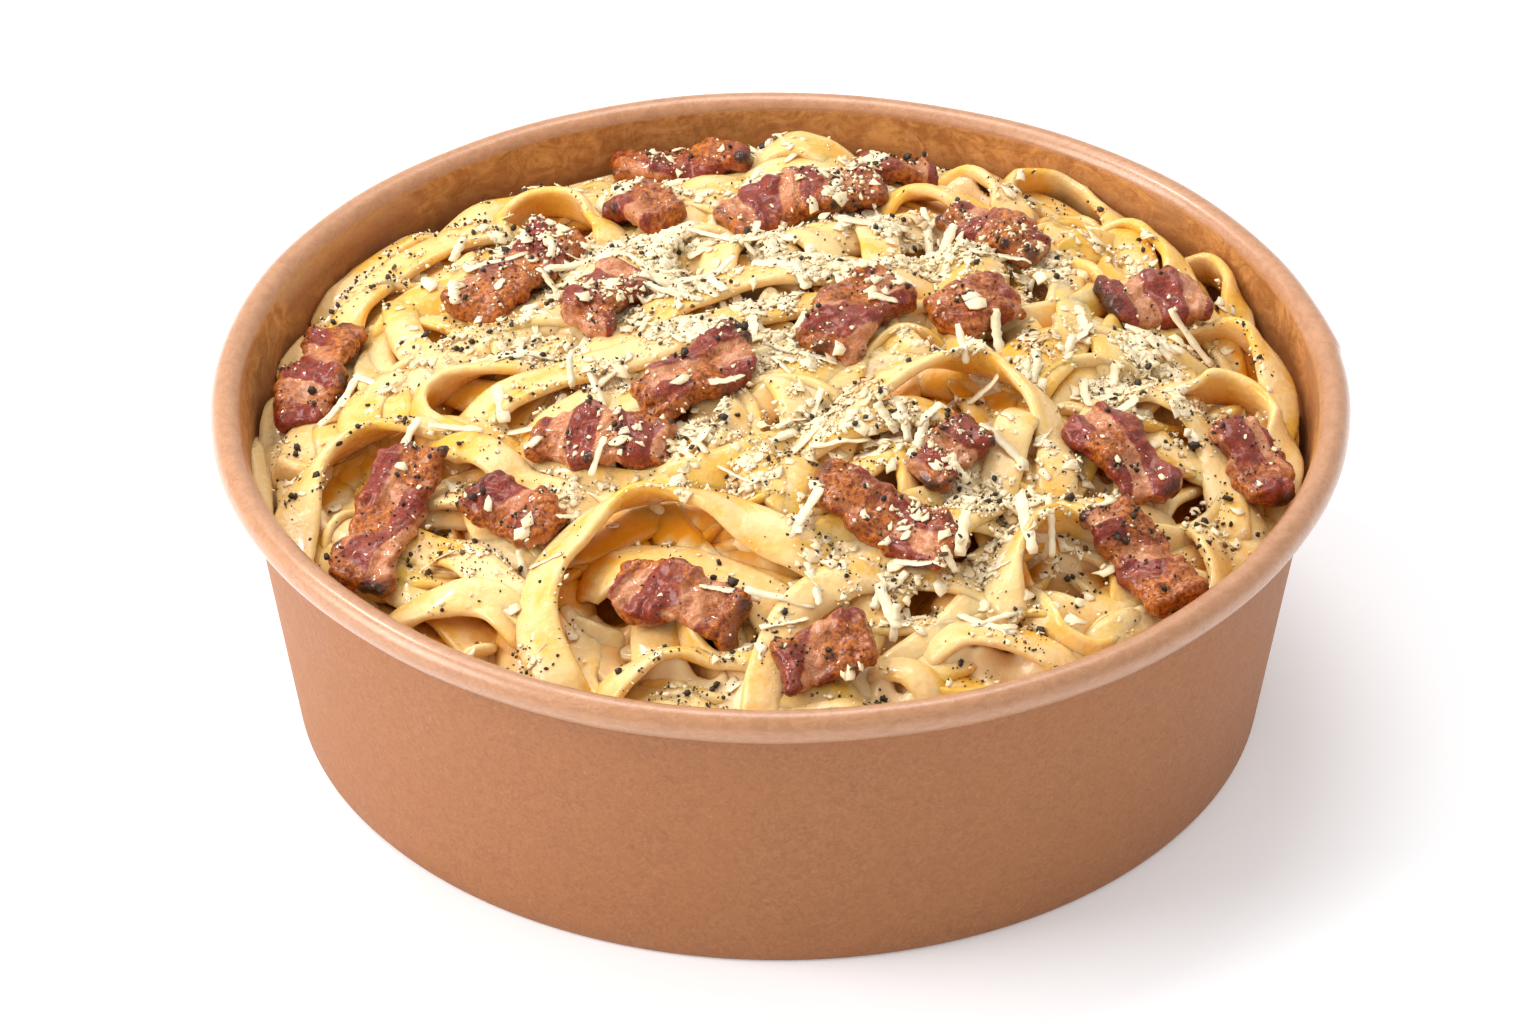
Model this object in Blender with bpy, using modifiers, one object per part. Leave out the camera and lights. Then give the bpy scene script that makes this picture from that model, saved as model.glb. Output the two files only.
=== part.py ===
"""A shallow round bowl of kraft paper board, heaped with pasta carbonara.

The bowl is built as such bowls are: a tapered side wall whose top is rolled outwards into a bead and whose foot
is folded in round the skirt of a separate, raised base disc. The tangled pasta is one heap that fills the bowl
and crowns a little above its rim, and each fried strip of bacon is a slab of its own, lying in a dent in the heap.

Metres, +Z up. The origin is the centre of the foot ring, on the surface that the bowl stands on.
"""

import math
import random

import bmesh
import bpy
import numpy as np
from mathutils import Euler, Matrix, Vector

# Bowl
RIM_RADIUS = 0.0750
BOWL_HEIGHT = 0.0460
FOOT_RADIUS = 0.0640
ROLL_RADIUS = 0.0021
BOARD = 0.0005
CLEARANCE = 0.0003
BASE_LIFT = 0.0060
HEM_HEIGHT = 0.0050
SKIRT_END = 0.0009
ROLL_TURN = math.radians(305)
ROLL_STEPS = 10
ROUND_STEPS = 48

# Heap of pasta
HEAP_EDGE = 0.0358
HEAP_CROWN = 0.0500
HEAP_POWER = 2.2
HEAP_LEAN = 0.0012
NOODLE_HALF_WIDTH = 0.0032
NOODLE_THICKNESS = 0.0020
NOODLE_COUNT = 90
HEAP_CELL = 0.0011
HEAP_KEPT = 0.072
HEAP_SEED = 11
TOP_OF_SPACE = 0.070

# Bacon
BACON_THICKNESS = 0.0032
BACON_SINK = 0.0006
DENT_MARGIN = 0.0016
DENT_CLEARANCE = 0.0009
BACON_CUTS = (7, 2)
BACON_SEED = 5

# Each strip: x and y of its middle in mm, heading, length and width in mm, pitch and roll in degrees.
# Heading turns from +X towards +Y; pitch lifts the strip's leading end and roll lifts its left side.
BACON = (
    (-13, 62, -4, 19, 8.0, 2, 10),
    (-18, 43, -58, 13, 8.0, 4, 8),
    (3, 43, 26, 23, 8.5, 6, 22),
    (16, 57, 20, 10, 6.5, 0, 8),
    (-35, 26, 53, 22, 9.5, 4, 10),
    (-23, 15, 64, 15, 8.5, 0, 6),
    (10, 8, 60, 19, 9.5, 4, 8),
    (26, 12, 40, 12, 9.5, 2, 6),
    (29, 35, -36, 15, 7.5, 0, 14),
    (50, 22, 24, 14, 9.0, 4, 12),
    (-61, 11, 73, 20, 8.5, 6, 4),
    (-11, -6, 40, 18, 9.0, 3, 10),
    (-23, -18, -14, 19, 8.5, 0, 16),
    (-51, -26, 68, 24, 9.5, 2, 6),
    (-34, -30, -46, 14, 8.0, 0, 4),
    (-13, -48, -24, 18, 8.5, -2, 14),
    (6, -57, 22, 13, 8.5, 0, 12),
    (22, -22, 56, 13, 6.5, 4, 8),
    (14, -35, -36, 22, 8.5, -2, 8),
    (45, -17, -42, 17, 9.0, -2, 6),
    (47, -36, -54, 18, 9.0, 2, 8),
    (62, -12, -64, 15, 8.0, 0, 10),
)


def clear_scene():
    for obj in list(bpy.data.objects):
        bpy.data.objects.remove(obj, do_unlink=True)


def make_material(name, colour, roughness):
    material = bpy.data.materials.new(name)
    material.use_nodes = True
    shader = material.node_tree.nodes["Principled BSDF"]
    shader.inputs["Base Color"].default_value = (*colour, 1.0)
    shader.inputs["Roughness"].default_value = roughness
    return material


def new_object(name, mesh, collection, material=None):
    obj = bpy.data.objects.new(name, mesh)
    collection.objects.link(obj)
    if material:
        mesh.materials.append(material)
    return obj


def profile_object(name, points, collection, material=None):
    """An open outline in the XZ plane, turned about Z by a Screw modifier."""
    mesh = bpy.data.meshes.new(name)
    edges = [(i, i + 1) for i in range(len(points) - 1)]
    mesh.from_pydata([(x, 0.0, z) for x, z in points], edges, [])
    obj = new_object(name, mesh, collection, material)
    turn = obj.modifiers.new("Turn", "SCREW")
    turn.axis = "Z"
    turn.steps = ROUND_STEPS
    turn.render_steps = ROUND_STEPS
    turn.use_merge_vertices = True
    turn.merge_threshold = 0.00002
    return obj


def thicken(obj):
    """Gives an open turned surface the thickness of the paper board."""
    shell = obj.modifiers.new("Board", "SOLIDIFY")
    shell.thickness = BOARD
    shell.offset = 0.0
    shell.use_even_offset = True


def wall_radius(z, inset=0.0):
    """Radius of the middle of the side wall's board at height z, or of a layer that lies inset inside it."""
    top_z = BOWL_HEIGHT - ROLL_RADIUS
    top_radius = RIM_RADIUS - 2 * ROLL_RADIUS + BOARD / 2
    foot_radius = FOOT_RADIUS - BOARD / 2
    return foot_radius + (top_radius - foot_radius) * z / top_z - inset


LAYER = BOARD + CLEARANCE  # from the middle of one layer of board to the next


def make_wall(collection, material):
    """Side wall: hem inside the foot, flat fold to stand on, tapered side and the bead rolled outwards."""
    roll_x = RIM_RADIUS - ROLL_RADIUS
    roll_z = BOWL_HEIGHT - ROLL_RADIUS
    reach = ROLL_RADIUS - BOARD / 2
    points = [
        (wall_radius(HEM_HEIGHT, 2 * LAYER), HEM_HEIGHT),
        (wall_radius(0.0, 2 * LAYER), BOARD / 2),
        (wall_radius(0.0), BOARD / 2),
    ]
    for step in range(ROLL_STEPS + 1):
        angle = math.pi - ROLL_TURN * step / ROLL_STEPS
        points.append((roll_x + reach * math.cos(angle), roll_z + reach * math.sin(angle)))
    points.reverse()
    wall = profile_object("bowl_wall", points, collection, material)
    thicken(wall)
    return wall


def make_base(collection, material):
    """Base disc, raised inside the foot, with a skirt that hangs in the hem."""
    points = [
        (0.0, BASE_LIFT),
        (wall_radius(BASE_LIFT, LAYER) - BOARD, BASE_LIFT),
        (wall_radius(BASE_LIFT - BOARD, LAYER), BASE_LIFT - BOARD),
        (wall_radius(SKIRT_END, LAYER), SKIRT_END),
    ]
    base = profile_object("bowl_base", points, collection, material)
    thicken(base)
    return base


def mound_height(x, y):
    """The smooth shape of the heap: a low crown that falls away towards the wall."""
    reach = np.clip(np.hypot(x, y) / 0.070, 0.0, 1.05)
    rise = (HEAP_CROWN - HEAP_EDGE) * (1.0 - reach**HEAP_POWER)
    return HEAP_EDGE + rise + HEAP_LEAN * x / 0.070


def mound_normal(x, y):
    step = 0.004
    slope_x = float(mound_height(x + step, y) - mound_height(x - step, y)) / (2 * step)
    slope_y = float(mound_height(x, y + step) - mound_height(x, y - step)) / (2 * step)
    return Vector((-slope_x, -slope_y, 1.0)).normalized()


def bacon_frame(row):
    """Matrix that sets a flat strip on the mound, and its length and width."""
    x, y, heading, length, width, pitch, roll = row
    x, y, length, width = (value * 0.001 for value in (x, y, length, width))
    normal = mound_normal(x, y)
    ahead = Vector((math.cos(math.radians(heading)), math.sin(math.radians(heading)), 0.0))
    ahead = (ahead - normal * ahead.dot(normal)).normalized()
    left = normal.cross(ahead)
    axes = Matrix((ahead, left, normal)).transposed().to_4x4()
    tilt = Euler((math.radians(roll), -math.radians(pitch), 0.0)).to_matrix().to_4x4()
    raise_by = NOODLE_THICKNESS + BACON_THICKNESS / 2 - BACON_SINK
    place = Matrix.Translation((x, y, float(mound_height(x, y)) + raise_by))
    return place @ axes @ tilt, length, width


def ribbon_relief(x, y, height, rng):
    """Lays noodles over the mound, one arc after another, each a flat-topped ridge."""
    for _ in range(NOODLE_COUNT):
        centre_angle = rng.uniform(0.0, 2 * math.pi)
        centre_reach = 0.062 * math.sqrt(rng.random())
        centre_x = centre_reach * math.cos(centre_angle)
        centre_y = centre_reach * math.sin(centre_angle)
        radius = rng.uniform(0.009, 0.034)
        start = rng.uniform(0.0, 2 * math.pi)
        sweep = rng.uniform(1.2, 4.0)
        lift = rng.uniform(-0.0022, 0.0006)
        off = np.abs(np.hypot(x - centre_x, y - centre_y) - radius) / NOODLE_HALF_WIDTH
        turn = (np.arctan2(y - centre_y, x - centre_x) - start) % (2 * math.pi)
        on_arc = (off < 1.0) & (turn < sweep)
        ridge = mound_height(x, y) + lift + NOODLE_THICKNESS * (1.0 - np.minimum(off, 1.0) ** 4)
        height = np.where(on_arc, np.maximum(height, ridge), height)
    return height


def press_dent(x, y, height, frame, length, width):
    """Lowers the heap under one strip of bacon, so that the strip lies on it and not in it."""
    middle, ahead, left, up = frame.translation, frame.col[0], frame.col[1], frame.col[2]
    slope_x, slope_y = -up.x / up.z, -up.y / up.z
    over_x, over_y = x - middle.x, y - middle.y
    plane = middle.z + slope_x * over_x + slope_y * over_y
    flat_ahead = Vector((ahead.x, ahead.y)).normalized()
    flat_left = Vector((left.x, left.y)).normalized()
    along = np.abs(over_x * flat_ahead.x + over_y * flat_ahead.y)
    across = np.abs(over_x * flat_left.x + over_y * flat_left.y)
    under = (along < length / 2 + DENT_MARGIN) & (across < width / 2 + DENT_MARGIN)
    limit = plane - BACON_THICKNESS / 2 / up.z - bacon_wave(length) - DENT_CLEARANCE
    return np.where(under, np.minimum(height, limit), height)


def make_heap(collection, cutters, material):
    """The heap: a block with the noodles' relief on top, kept to what fits inside the bowl."""
    half = wall_radius(BOWL_HEIGHT) + 2 * HEAP_CELL
    cells = round(2 * half / HEAP_CELL)
    block = bmesh.new()
    bmesh.ops.create_grid(block, x_segments=cells, y_segments=cells, size=half)
    block.verts.ensure_lookup_table()
    corners = np.array([vert.co for vert in block.verts])
    x, y = corners[:, 0], corners[:, 1]
    height = mound_height(x, y) - 2 * NOODLE_THICKNESS
    height = ribbon_relief(x, y, height, random.Random(HEAP_SEED))
    for row in BACON:
        height = press_dent(x, y, height, *bacon_frame(row))
    for vert, z in zip(block.verts, height):
        vert.co.z = float(z)
    sides = bmesh.ops.extrude_face_region(block, geom=block.faces[:])
    for item in sides["geom"]:
        if isinstance(item, bmesh.types.BMVert):
            item.co.z = 0.0
    bmesh.ops.recalc_face_normals(block, faces=block.faces)
    mesh = bpy.data.meshes.new("pasta")
    block.to_mesh(mesh)
    block.free()
    heap = new_object("pasta", mesh, collection, material)

    fewer = heap.modifiers.new("Fewer faces", "DECIMATE")
    fewer.ratio = HEAP_KEPT

    clear = BOARD / 2 + CLEARANCE
    floor_z = BASE_LIFT + clear
    points = [
        (0.0, TOP_OF_SPACE),
        (wall_radius(BOWL_HEIGHT, clear), TOP_OF_SPACE),
        (wall_radius(BOWL_HEIGHT - ROLL_RADIUS, clear), BOWL_HEIGHT - ROLL_RADIUS),
        (wall_radius(floor_z, clear), floor_z),
        (0.0, floor_z),
    ]
    space = profile_object("bowl_space", points, cutters)
    space.hide_render = True
    space.display_type = "WIRE"
    inside = heap.modifiers.new("Inside the bowl", "BOOLEAN")
    inside.operation = "INTERSECT"
    inside.solver = "EXACT"
    inside.object = space
    return heap


def bacon_wave(length):
    """How far a strip curls up and down from flat: longer strips curl more."""
    return 0.0004 + 0.035 * length


def make_bacon(number, row, collection, material):
    """One fried strip: a slab with ruffled long edges, curled along its length."""
    rng = random.Random(BACON_SEED + number)
    frame, length, width = bacon_frame(row)
    slab = bmesh.new()
    bmesh.ops.create_cube(slab, size=1.0)
    along = [edge for edge in slab.edges if abs(edge.verts[0].co.x - edge.verts[1].co.x) > 0.5]
    bmesh.ops.subdivide_edges(slab, edges=along, cuts=BACON_CUTS[0] - 1, use_grid_fill=True)
    across = [edge for edge in slab.edges if abs(edge.verts[0].co.y - edge.verts[1].co.y) > 0.5]
    bmesh.ops.subdivide_edges(slab, edges=across, cuts=BACON_CUTS[1] - 1, use_grid_fill=True)
    phase, ripple = rng.uniform(0.0, 2 * math.pi), rng.uniform(0.9, 1.4)
    edge_phases = {-1: rng.uniform(0.0, 2 * math.pi), 0: 0.0, 1: rng.uniform(0.0, 2 * math.pi)}
    bend = rng.uniform(-0.06, 0.06)
    for vert in slab.verts:
        u, v, w = vert.co
        side = (v > 0.1) - (v < -0.1)
        ruffle = 1.0 + 0.10 * math.sin(9.0 * u + edge_phases[side]) - 0.10 * abs(2 * u) ** 3
        curl = bacon_wave(length) * math.sin(2 * math.pi * ripple * u + phase + 0.8 * side)
        thick = BACON_THICKNESS * (1.0 + 0.12 * math.sin(7.0 * u + phase))
        vert.co.x = u * length
        vert.co.y = v * width * ruffle + bend * length * (4 * u * u - 0.5)
        vert.co.z = w * thick + curl * (0.7 + 0.3 * abs(side))
    bmesh.ops.recalc_face_normals(slab, faces=slab.faces)
    mesh = bpy.data.meshes.new(f"bacon_{number:02d}")
    slab.to_mesh(mesh)
    slab.free()
    strip = new_object(f"bacon_{number:02d}", mesh, collection, material)
    strip.matrix_world = frame
    return strip


def main():
    clear_scene()
    food = bpy.data.collections.new("pasta carbonara in a paper bowl")
    cutters = bpy.data.collections.new("cutters")
    for collection in (food, cutters):
        bpy.context.scene.collection.children.link(collection)
    kraft = make_material("kraft board", (0.53, 0.32, 0.18), 0.75)
    pasta = make_material("pasta in cream sauce", (0.86, 0.70, 0.40), 0.35)
    bacon = make_material("fried bacon", (0.42, 0.10, 0.07), 0.35)
    make_wall(food, kraft)
    make_base(food, kraft)
    make_heap(food, cutters, pasta)
    for number, row in enumerate(BACON, start=1):
        make_bacon(number, row, food, bacon)


main()
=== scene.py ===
"""Looks of a round kraft-paper bowl heaped with pasta carbonara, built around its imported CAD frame.

Every noodle is laid on what already lies in the bowl, as a cook's tongs would drop it. Cream sauce then
fills the creases, and the bacon, grated cheese and cracked pepper lie on top. Metres, +Z up, as in the frame.
"""

import itertools
import math
import random

import bmesh
import bpy
import numpy as np
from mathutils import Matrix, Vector


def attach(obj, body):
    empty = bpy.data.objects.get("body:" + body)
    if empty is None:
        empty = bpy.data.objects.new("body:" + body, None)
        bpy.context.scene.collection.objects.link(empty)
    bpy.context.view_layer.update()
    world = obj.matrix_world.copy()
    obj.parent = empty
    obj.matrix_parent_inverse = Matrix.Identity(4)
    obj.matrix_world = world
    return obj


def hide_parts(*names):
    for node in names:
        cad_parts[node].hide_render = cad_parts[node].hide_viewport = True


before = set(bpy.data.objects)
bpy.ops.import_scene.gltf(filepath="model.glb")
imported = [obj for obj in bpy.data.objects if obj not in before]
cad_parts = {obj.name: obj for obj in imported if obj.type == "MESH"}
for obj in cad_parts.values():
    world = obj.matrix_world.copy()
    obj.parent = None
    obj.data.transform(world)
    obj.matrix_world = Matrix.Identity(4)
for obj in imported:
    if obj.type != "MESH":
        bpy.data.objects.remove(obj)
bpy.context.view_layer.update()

MM = 0.001

# Bowl, as in the CAD
RIM_RADIUS = 0.0750
BOWL_HEIGHT = 0.0460
FOOT_RADIUS = 0.0640
ROLL_RADIUS = 0.0021
BOARD = 0.0005
CLEARANCE = 0.0003
BASE_LIFT = 0.0060
HEM_HEIGHT = 0.0050
SKIRT_END = 0.0009
LAYER = BOARD + CLEARANCE

# Bowl, finer than in the CAD, with a lip along its roll and a seam
BOWL_SEGMENTS = 224
WALL_STEP = 2.6 * MM
BASE_STEP = 5 * MM
ROLL_TURN = math.radians(335)
ROLL_STEPS = 48
ROLL_TUCK = 0.10  # how much tighter the end of the roll lies
LIP_ANGLE = math.radians(-58)
LIP_SPREAD = math.radians(9)
LIP_RISE = 0.00016
SEAM_ANGLE = math.radians(9)
SEAM_STEP = 0.0004
SEAM_TURN = 0.16  # radians over which the seam's step dies away
SEAM_FOOT = 0.004  # height over which the step grows from the foot

# Heap, as in the CAD
HEAP_EDGE = 0.0358
HEAP_CROWN = 0.0500
HEAP_POWER = 2.2
HEAP_LEAN = 0.0012
HEAP_REACH = 0.070

# How much higher than the CAD's heap it stands against the wall at the back and the sides
BANK = 0.0018
BANK_START = 0.040
BANK_WIDTH = 0.018

# Relief grid
GRID_HALF = 0.0760
GRID_CELL = 0.0005

# Noodles
NOODLE_HALF_THICKNESS = 0.92 * MM
LOOP_HALF_THICKNESS = 0.95 * MM
LOOP_NARROWING = 0.93
DEEP_NOODLES = 38
UPPER_NOODLES = 78
WANDER_REACH = 0.0658
CORE_DEPTH = 8.5 * MM
DEEP_BELOW_TOP = 3.6 * MM
FILLER_ABOVE_TOP = 1.4 * MM
TOP_ABOVE_MOUND = 1.9 * MM
LOOP_ABOVE_MOUND = 2.8 * MM
HIGHEST = 58.0 * MM
WALL_GAP = 0.12 * MM
SEED = 7

# Grated cheese and pepper
TOPPING_REACH = 0.067
FLAKE_REACH = 0.066
SHRED_REACH = 0.058
CHEESE_ROUNDS = 6
CRUMBS_A_ROUND = 2500
FLAKES_A_ROUND = 520
FLAKE_CORNERS = 7
STREWN_AT_ONCE = 4000
SHRED_WIDTH = (0.9 * MM, 1.6 * MM)
SHRED_THICKNESS = (0.11 * MM, 0.17 * MM)
SHRED_STEPS = 14
SHRED_CURL = 0.22
SHRED_TILT = 0.015
SHRED_TWIST = 0.14
SHRED_PERCH = 0.78  # how far up the bumps under it a shred rests
SHRED_STEEPEST = 0.9

# Loops that show at the top, as routes over the plan: (x, y, lift) in mm, half width in mm, and lean, the
# part of the roll that a bend gives. A positive lean closes the loop towards its top, a negative opens it.
LOOPS = (
    (((-66, 16, 0), (-61, 24, 0), (-54, 30, 1), (-46, 31, 0)), 3.0, 0.9),
    (((-62, 28, 0), (-56, 37, 0), (-50, 43, 1), (-43, 47, 0)), 2.6, 1.0),
    (((-71, 8, 0), (-69, -4, 0), (-68, -16, 0), (-66, -26, 0)), 2.4, 1.6),
    (((-33, -12, 0), (-40, -10, 1), (-48, -8, 3), (-55, -8, 4), (-61, -13, 3), (-63, -22, 2), (-63, -32, 1),
      (-58, -41, 0)), 3.6, 0.75),
    (((-28, 3, 0), (-35, 3, 1), (-42, 2, 2), (-47, -2, 2), (-46, -8, 1), (-42, -13, 1), (-36, -19, 2),
      (-29, -26, 1), (-22, -31, 0)), 3.1, 0.8),
    (((-44, -30, 1), (-39, -37, 2), (-33, -44, 1), (-27, -50, 0)), 3.3, 0.3),
    (((-52, -41, 0), (-45, -42, 1), (-38, -43, 1), (-31, -49, 0)), 3.0, -0.5),
    (((-42, -55, -1), (-41, -50, 0), (-36, -46, 0)), 2.6, 0.8),
    (((-26, -40, -1), (-18, -39, 0), (-10, -41, 0), (-3, -45, 0), (3, -52, -1)), 4.4, 0.2),
    (((8, -41, 0), (-1, -38, 2), (-9, -33, 4), (-18, -31, 5), (-25, -35, 4), (-30, -42, 3), (-31, -50, 2),
      (-28, -58, 0), (-24, -63, -2)), 3.6, 0.7),
    (((1, -56, 0), (-6, -55, 1), (-14, -55, 2), (-21, -59, 1), (-25, -63, -1)), 3.0, 0.6),
    (((16, -41, 1), (9, -44, 2), (3, -49, 2), (-1, -57, 1), (-3, -65, -1)), 3.0, -0.8),
    (((-42, -8, 0), (-30, -2, 1), (-18, 2, 1), (-8, 8, 1), (4, 13, 0), (14, 15, 0)), 3.3, 0.3),
    (((-26, 2, 0), (-14, 13, 1), (-2, 20, 1), (10, 21, 1), (22, 20, 0)), 3.2, 0.3),
    (((6, -22, 0), (10, -13, 2), (17, -6, 4), (26, -3, 4), (33, -8, 3), (36, -16, 1), (36, -26, 0)),
     3.1, 0.7),
    (((28, -27, 0), (30, -18, 2), (33, -9, 2)), 2.8, -0.7),
    (((1, -20, 0), (9, -17, 1), (16, -14, 1), (24, -10, 0)), 3.1, 0.2),
    (((29, -48, 0), (29, -40, 2), (33, -33, 4), (39, -30, 4), (44, -34, 2), (46, -43, 0)), 3.2, 0.7),
    (((17, -53, 0), (24, -51, 1), (32, -52, 1), (41, -56, 0)), 3.6, 0.2),
    (((11, -54, 0), (17, -57, 0), (23, -62, -1)), 3.2, 0.4),
    (((46, 16, 0), (53, 20, 1), (60, 21, 2), (65, 14, 2), (66, 4, 1), (63, -5, 0)), 3.3, 0.9),
    (((45, -3, 0), (52, 2, 1), (59, 5, 2), (65, 1, 2), (66, -8, 1), (64, -18, 0)), 3.2, 0.9),
    (((42, -1, 0), (50, -2, 1), (56, -7, 2), (58, -15, 1), (59, -26, 0)), 3.0, 0.5),
    (((52, -22, 0), (56, -29, 1), (57, -37, 1), (53, -43, 0)), 2.9, 0.8),
    (((66, -27, 0), (63, -35, 1), (57, -42, 0)), 2.5, 1.3),
    (((28, 50, 0), (32, 57, 1), (39, 59, 1), (45, 52, 1), (47, 42, 0), (49, 30, 0)), 3.0, 0.9),
    (((42, 46, 0), (48, 44, 1), (53, 36, 1), (54, 26, 0)), 2.8, 1.0),
    (((52, 38, 0), (58, 38, 1), (61, 31, 1), (61, 22, 0)), 2.8, 1.1),
    (((10, 42, 0), (17, 47, 1), (24, 45, 2), (31, 38, 1), (38, 29, 0)), 3.2, 0.4),
    (((-37, 36, 0), (-38, 44, 0), (-34, 50, 1), (-27, 49, 1), (-23, 42, 0), (-22, 34, 0)), 2.9, 0.8),
    (((-14, 52, 0), (-4, 55, 1), (8, 55, 1), (20, 50, 0)), 3.0, 0.2),
    (((-27, 55, 0), (-16, 60, 2), (-6, 61, 6), (3, 60, 3), (13, 55, 1), (20, 49, 0)), 3.6, 0.3),
    (((8, 60, 0), (16, 60, 2), (24, 57, 3), (30, 51, 1), (32, 43, 0)), 3.2, 0.8),
    (((-58, 14, 0), (-57, 24, 1), (-51, 33, 1), (-43, 39, 1), (-33, 43, 0)), 2.9, 0.5),
)

# Hollows inside the loops that stay open: x, y, radius and depth in mm
HOLLOWS = (
    (-50, -17, 6, 4), (-41, -6, 3, 3), (-21, -45, 8, 3), (59, 12, 5, 5), (60, -5, 4, 4), (37, 50, 5, 4),
    (24, -11, 5, 3), (37, -38, 4, 4), (-30, 45, 5, 4), (-38, -52, 4, 3), (12, -60, 4, 3), (44, -20, 4, 3),
    (-58, -44, 4, 3), (-8, -62, 4, 3), (30, -58, 4, 3), (-60, 20, 3, 3), (50, 34, 3, 3),
)

# Grated cheese lies thickest in these heaps: x, y and radius in mm, and how dense
CHEESE_HEAPS = (
    (-6, 22, 26, 1.0), (18, 26, 22, 0.9), (2, 0, 24, 0.8), (-24, 30, 16, 0.7), (34, -2, 20, 0.75),
    (-2, 48, 22, 0.8), (-14, -22, 16, 0.5), (20, -32, 18, 0.6), (36, 24, 18, 0.6), (-46, 4, 14, 0.25),
)


# ---------------------------------------------------------------- smooth random values

_lattice = np.random.default_rng(SEED).uniform(-1.0, 1.0, (32, 32, 32))


def bumps(points, size, shift=0.0):
    """Smooth random values from -1 to 1 at each point, with hills about one size across."""
    place = np.asarray(points, float) / size + 7.31 + shift
    low = np.floor(place).astype(int)
    part = place - low
    part = part * part * (3.0 - 2.0 * part)
    total = np.zeros(len(place))
    for corner in range(8):
        pick = np.array([corner & 1, corner >> 1 & 1, corner >> 2 & 1])
        at = (low + pick) % 32
        weight = np.prod(np.where(pick, part, 1.0 - part), axis=1)
        total += weight * _lattice[at[:, 0], at[:, 1], at[:, 2]]
    return total


def smooth_line(values, width):
    """Running bell-curve mean along a line of values; width is its spread in steps."""
    reach = max(1, int(3 * width))
    bell = np.exp(-0.5 * (np.arange(-reach, reach + 1) / width) ** 2)
    padded = np.pad(values, reach, mode="edge")
    return np.convolve(padded, bell / bell.sum(), mode="valid")


# ---------------------------------------------------------------- meshes

def make_piece(name, points, faces, material, tints, smooth=True):
    """A mesh piece from arrays of points, faces and point colours, riding on the bowl."""
    mesh = bpy.data.meshes.new(name)
    faces = [np.asarray(group, np.int32) for group in faces if len(group)]
    corners = np.concatenate([group.ravel() for group in faces])
    sizes = np.concatenate([np.full(len(group), group.shape[1]) for group in faces])
    mesh.vertices.add(len(points))
    mesh.vertices.foreach_set("co", np.asarray(points, np.float32).ravel())
    mesh.loops.add(len(corners))
    mesh.loops.foreach_set("vertex_index", corners)
    mesh.polygons.add(len(sizes))
    mesh.polygons.foreach_set("loop_start", np.concatenate([[0], np.cumsum(sizes)[:-1]]))
    mesh.update(calc_edges=True)
    mesh.validate()
    rgba = np.ones((len(points), 4), np.float32)
    rgba[:, : tints.shape[1]] = tints
    mesh.color_attributes.new("tint", "FLOAT_COLOR", "POINT").data.foreach_set("color", rgba.ravel())
    mesh.materials.append(material)
    if smooth:
        mesh.shade_smooth()
    piece = bpy.data.objects.new(name, mesh)
    bpy.context.scene.collection.objects.link(piece)
    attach(piece, "root")
    return piece


def grid_faces(rows, columns, open_rows=False, open_columns=False):
    """Quads over points numbered row after row. Rows and columns close in a ring unless they are open."""
    row, column = np.meshgrid(np.arange(rows - open_rows), np.arange(columns - open_columns), indexing="ij")
    here, below = row * columns, (row + 1) % rows * columns
    after = (column + 1) % columns
    return np.stack([here + column, below + column, below + after, here + after], axis=-1).reshape(-1, 4)


def tube_faces(rings, sides):
    """Quads round a tube of rings, facing outwards."""
    return grid_faces(rings, sides, open_rows=True)[:, (0, 3, 2, 1)]


class Heap:
    """Meshes gathered to be joined in one piece."""

    def __init__(self):
        self.points, self.tints = [], []
        self.quads, self.triangles = [], []
        self.count = 0

    def add(self, points, tints, quads=(), triangles=()):
        self.points.append(points)
        self.tints.append(tints)
        if len(quads):
            self.quads.append(np.asarray(quads) + self.count)
        if len(triangles):
            self.triangles.append(np.asarray(triangles) + self.count)
        self.count += len(points)

    def add_tube(self, rings, tints):
        """A closed tube; rings is an array of rings of points, and each end shuts with a fan."""
        number, sides = rings.shape[:2]
        ends = np.stack([rings[0].mean(axis=0), rings[-1].mean(axis=0)])
        points = np.concatenate([rings.reshape(-1, 3), ends])
        tints = np.concatenate([tints.reshape(-1, tints.shape[-1]), tints[0, :1], tints[-1, :1]])
        side = np.arange(sides)
        after = (side + 1) % sides
        first, last = number * sides, number * sides + 1
        head = np.stack([np.full(sides, first), after, side], axis=1)
        tail_row = (number - 1) * sides
        tail = np.stack([np.full(sides, last), tail_row + side, tail_row + after], axis=1)
        self.add(points, tints, tube_faces(number, sides), np.concatenate([head, tail]))

    def make(self, name, material, slot, smooth=True):
        faces = [np.concatenate(group) for group in (self.quads, self.triangles) if group]
        points = np.concatenate(self.points)
        points[:, 2] = np.minimum(points[:, 2], HIGHEST)
        return make_piece(name, points, faces, material, np.concatenate(self.tints), smooth)


# ---------------------------------------------------------------- materials

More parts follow.
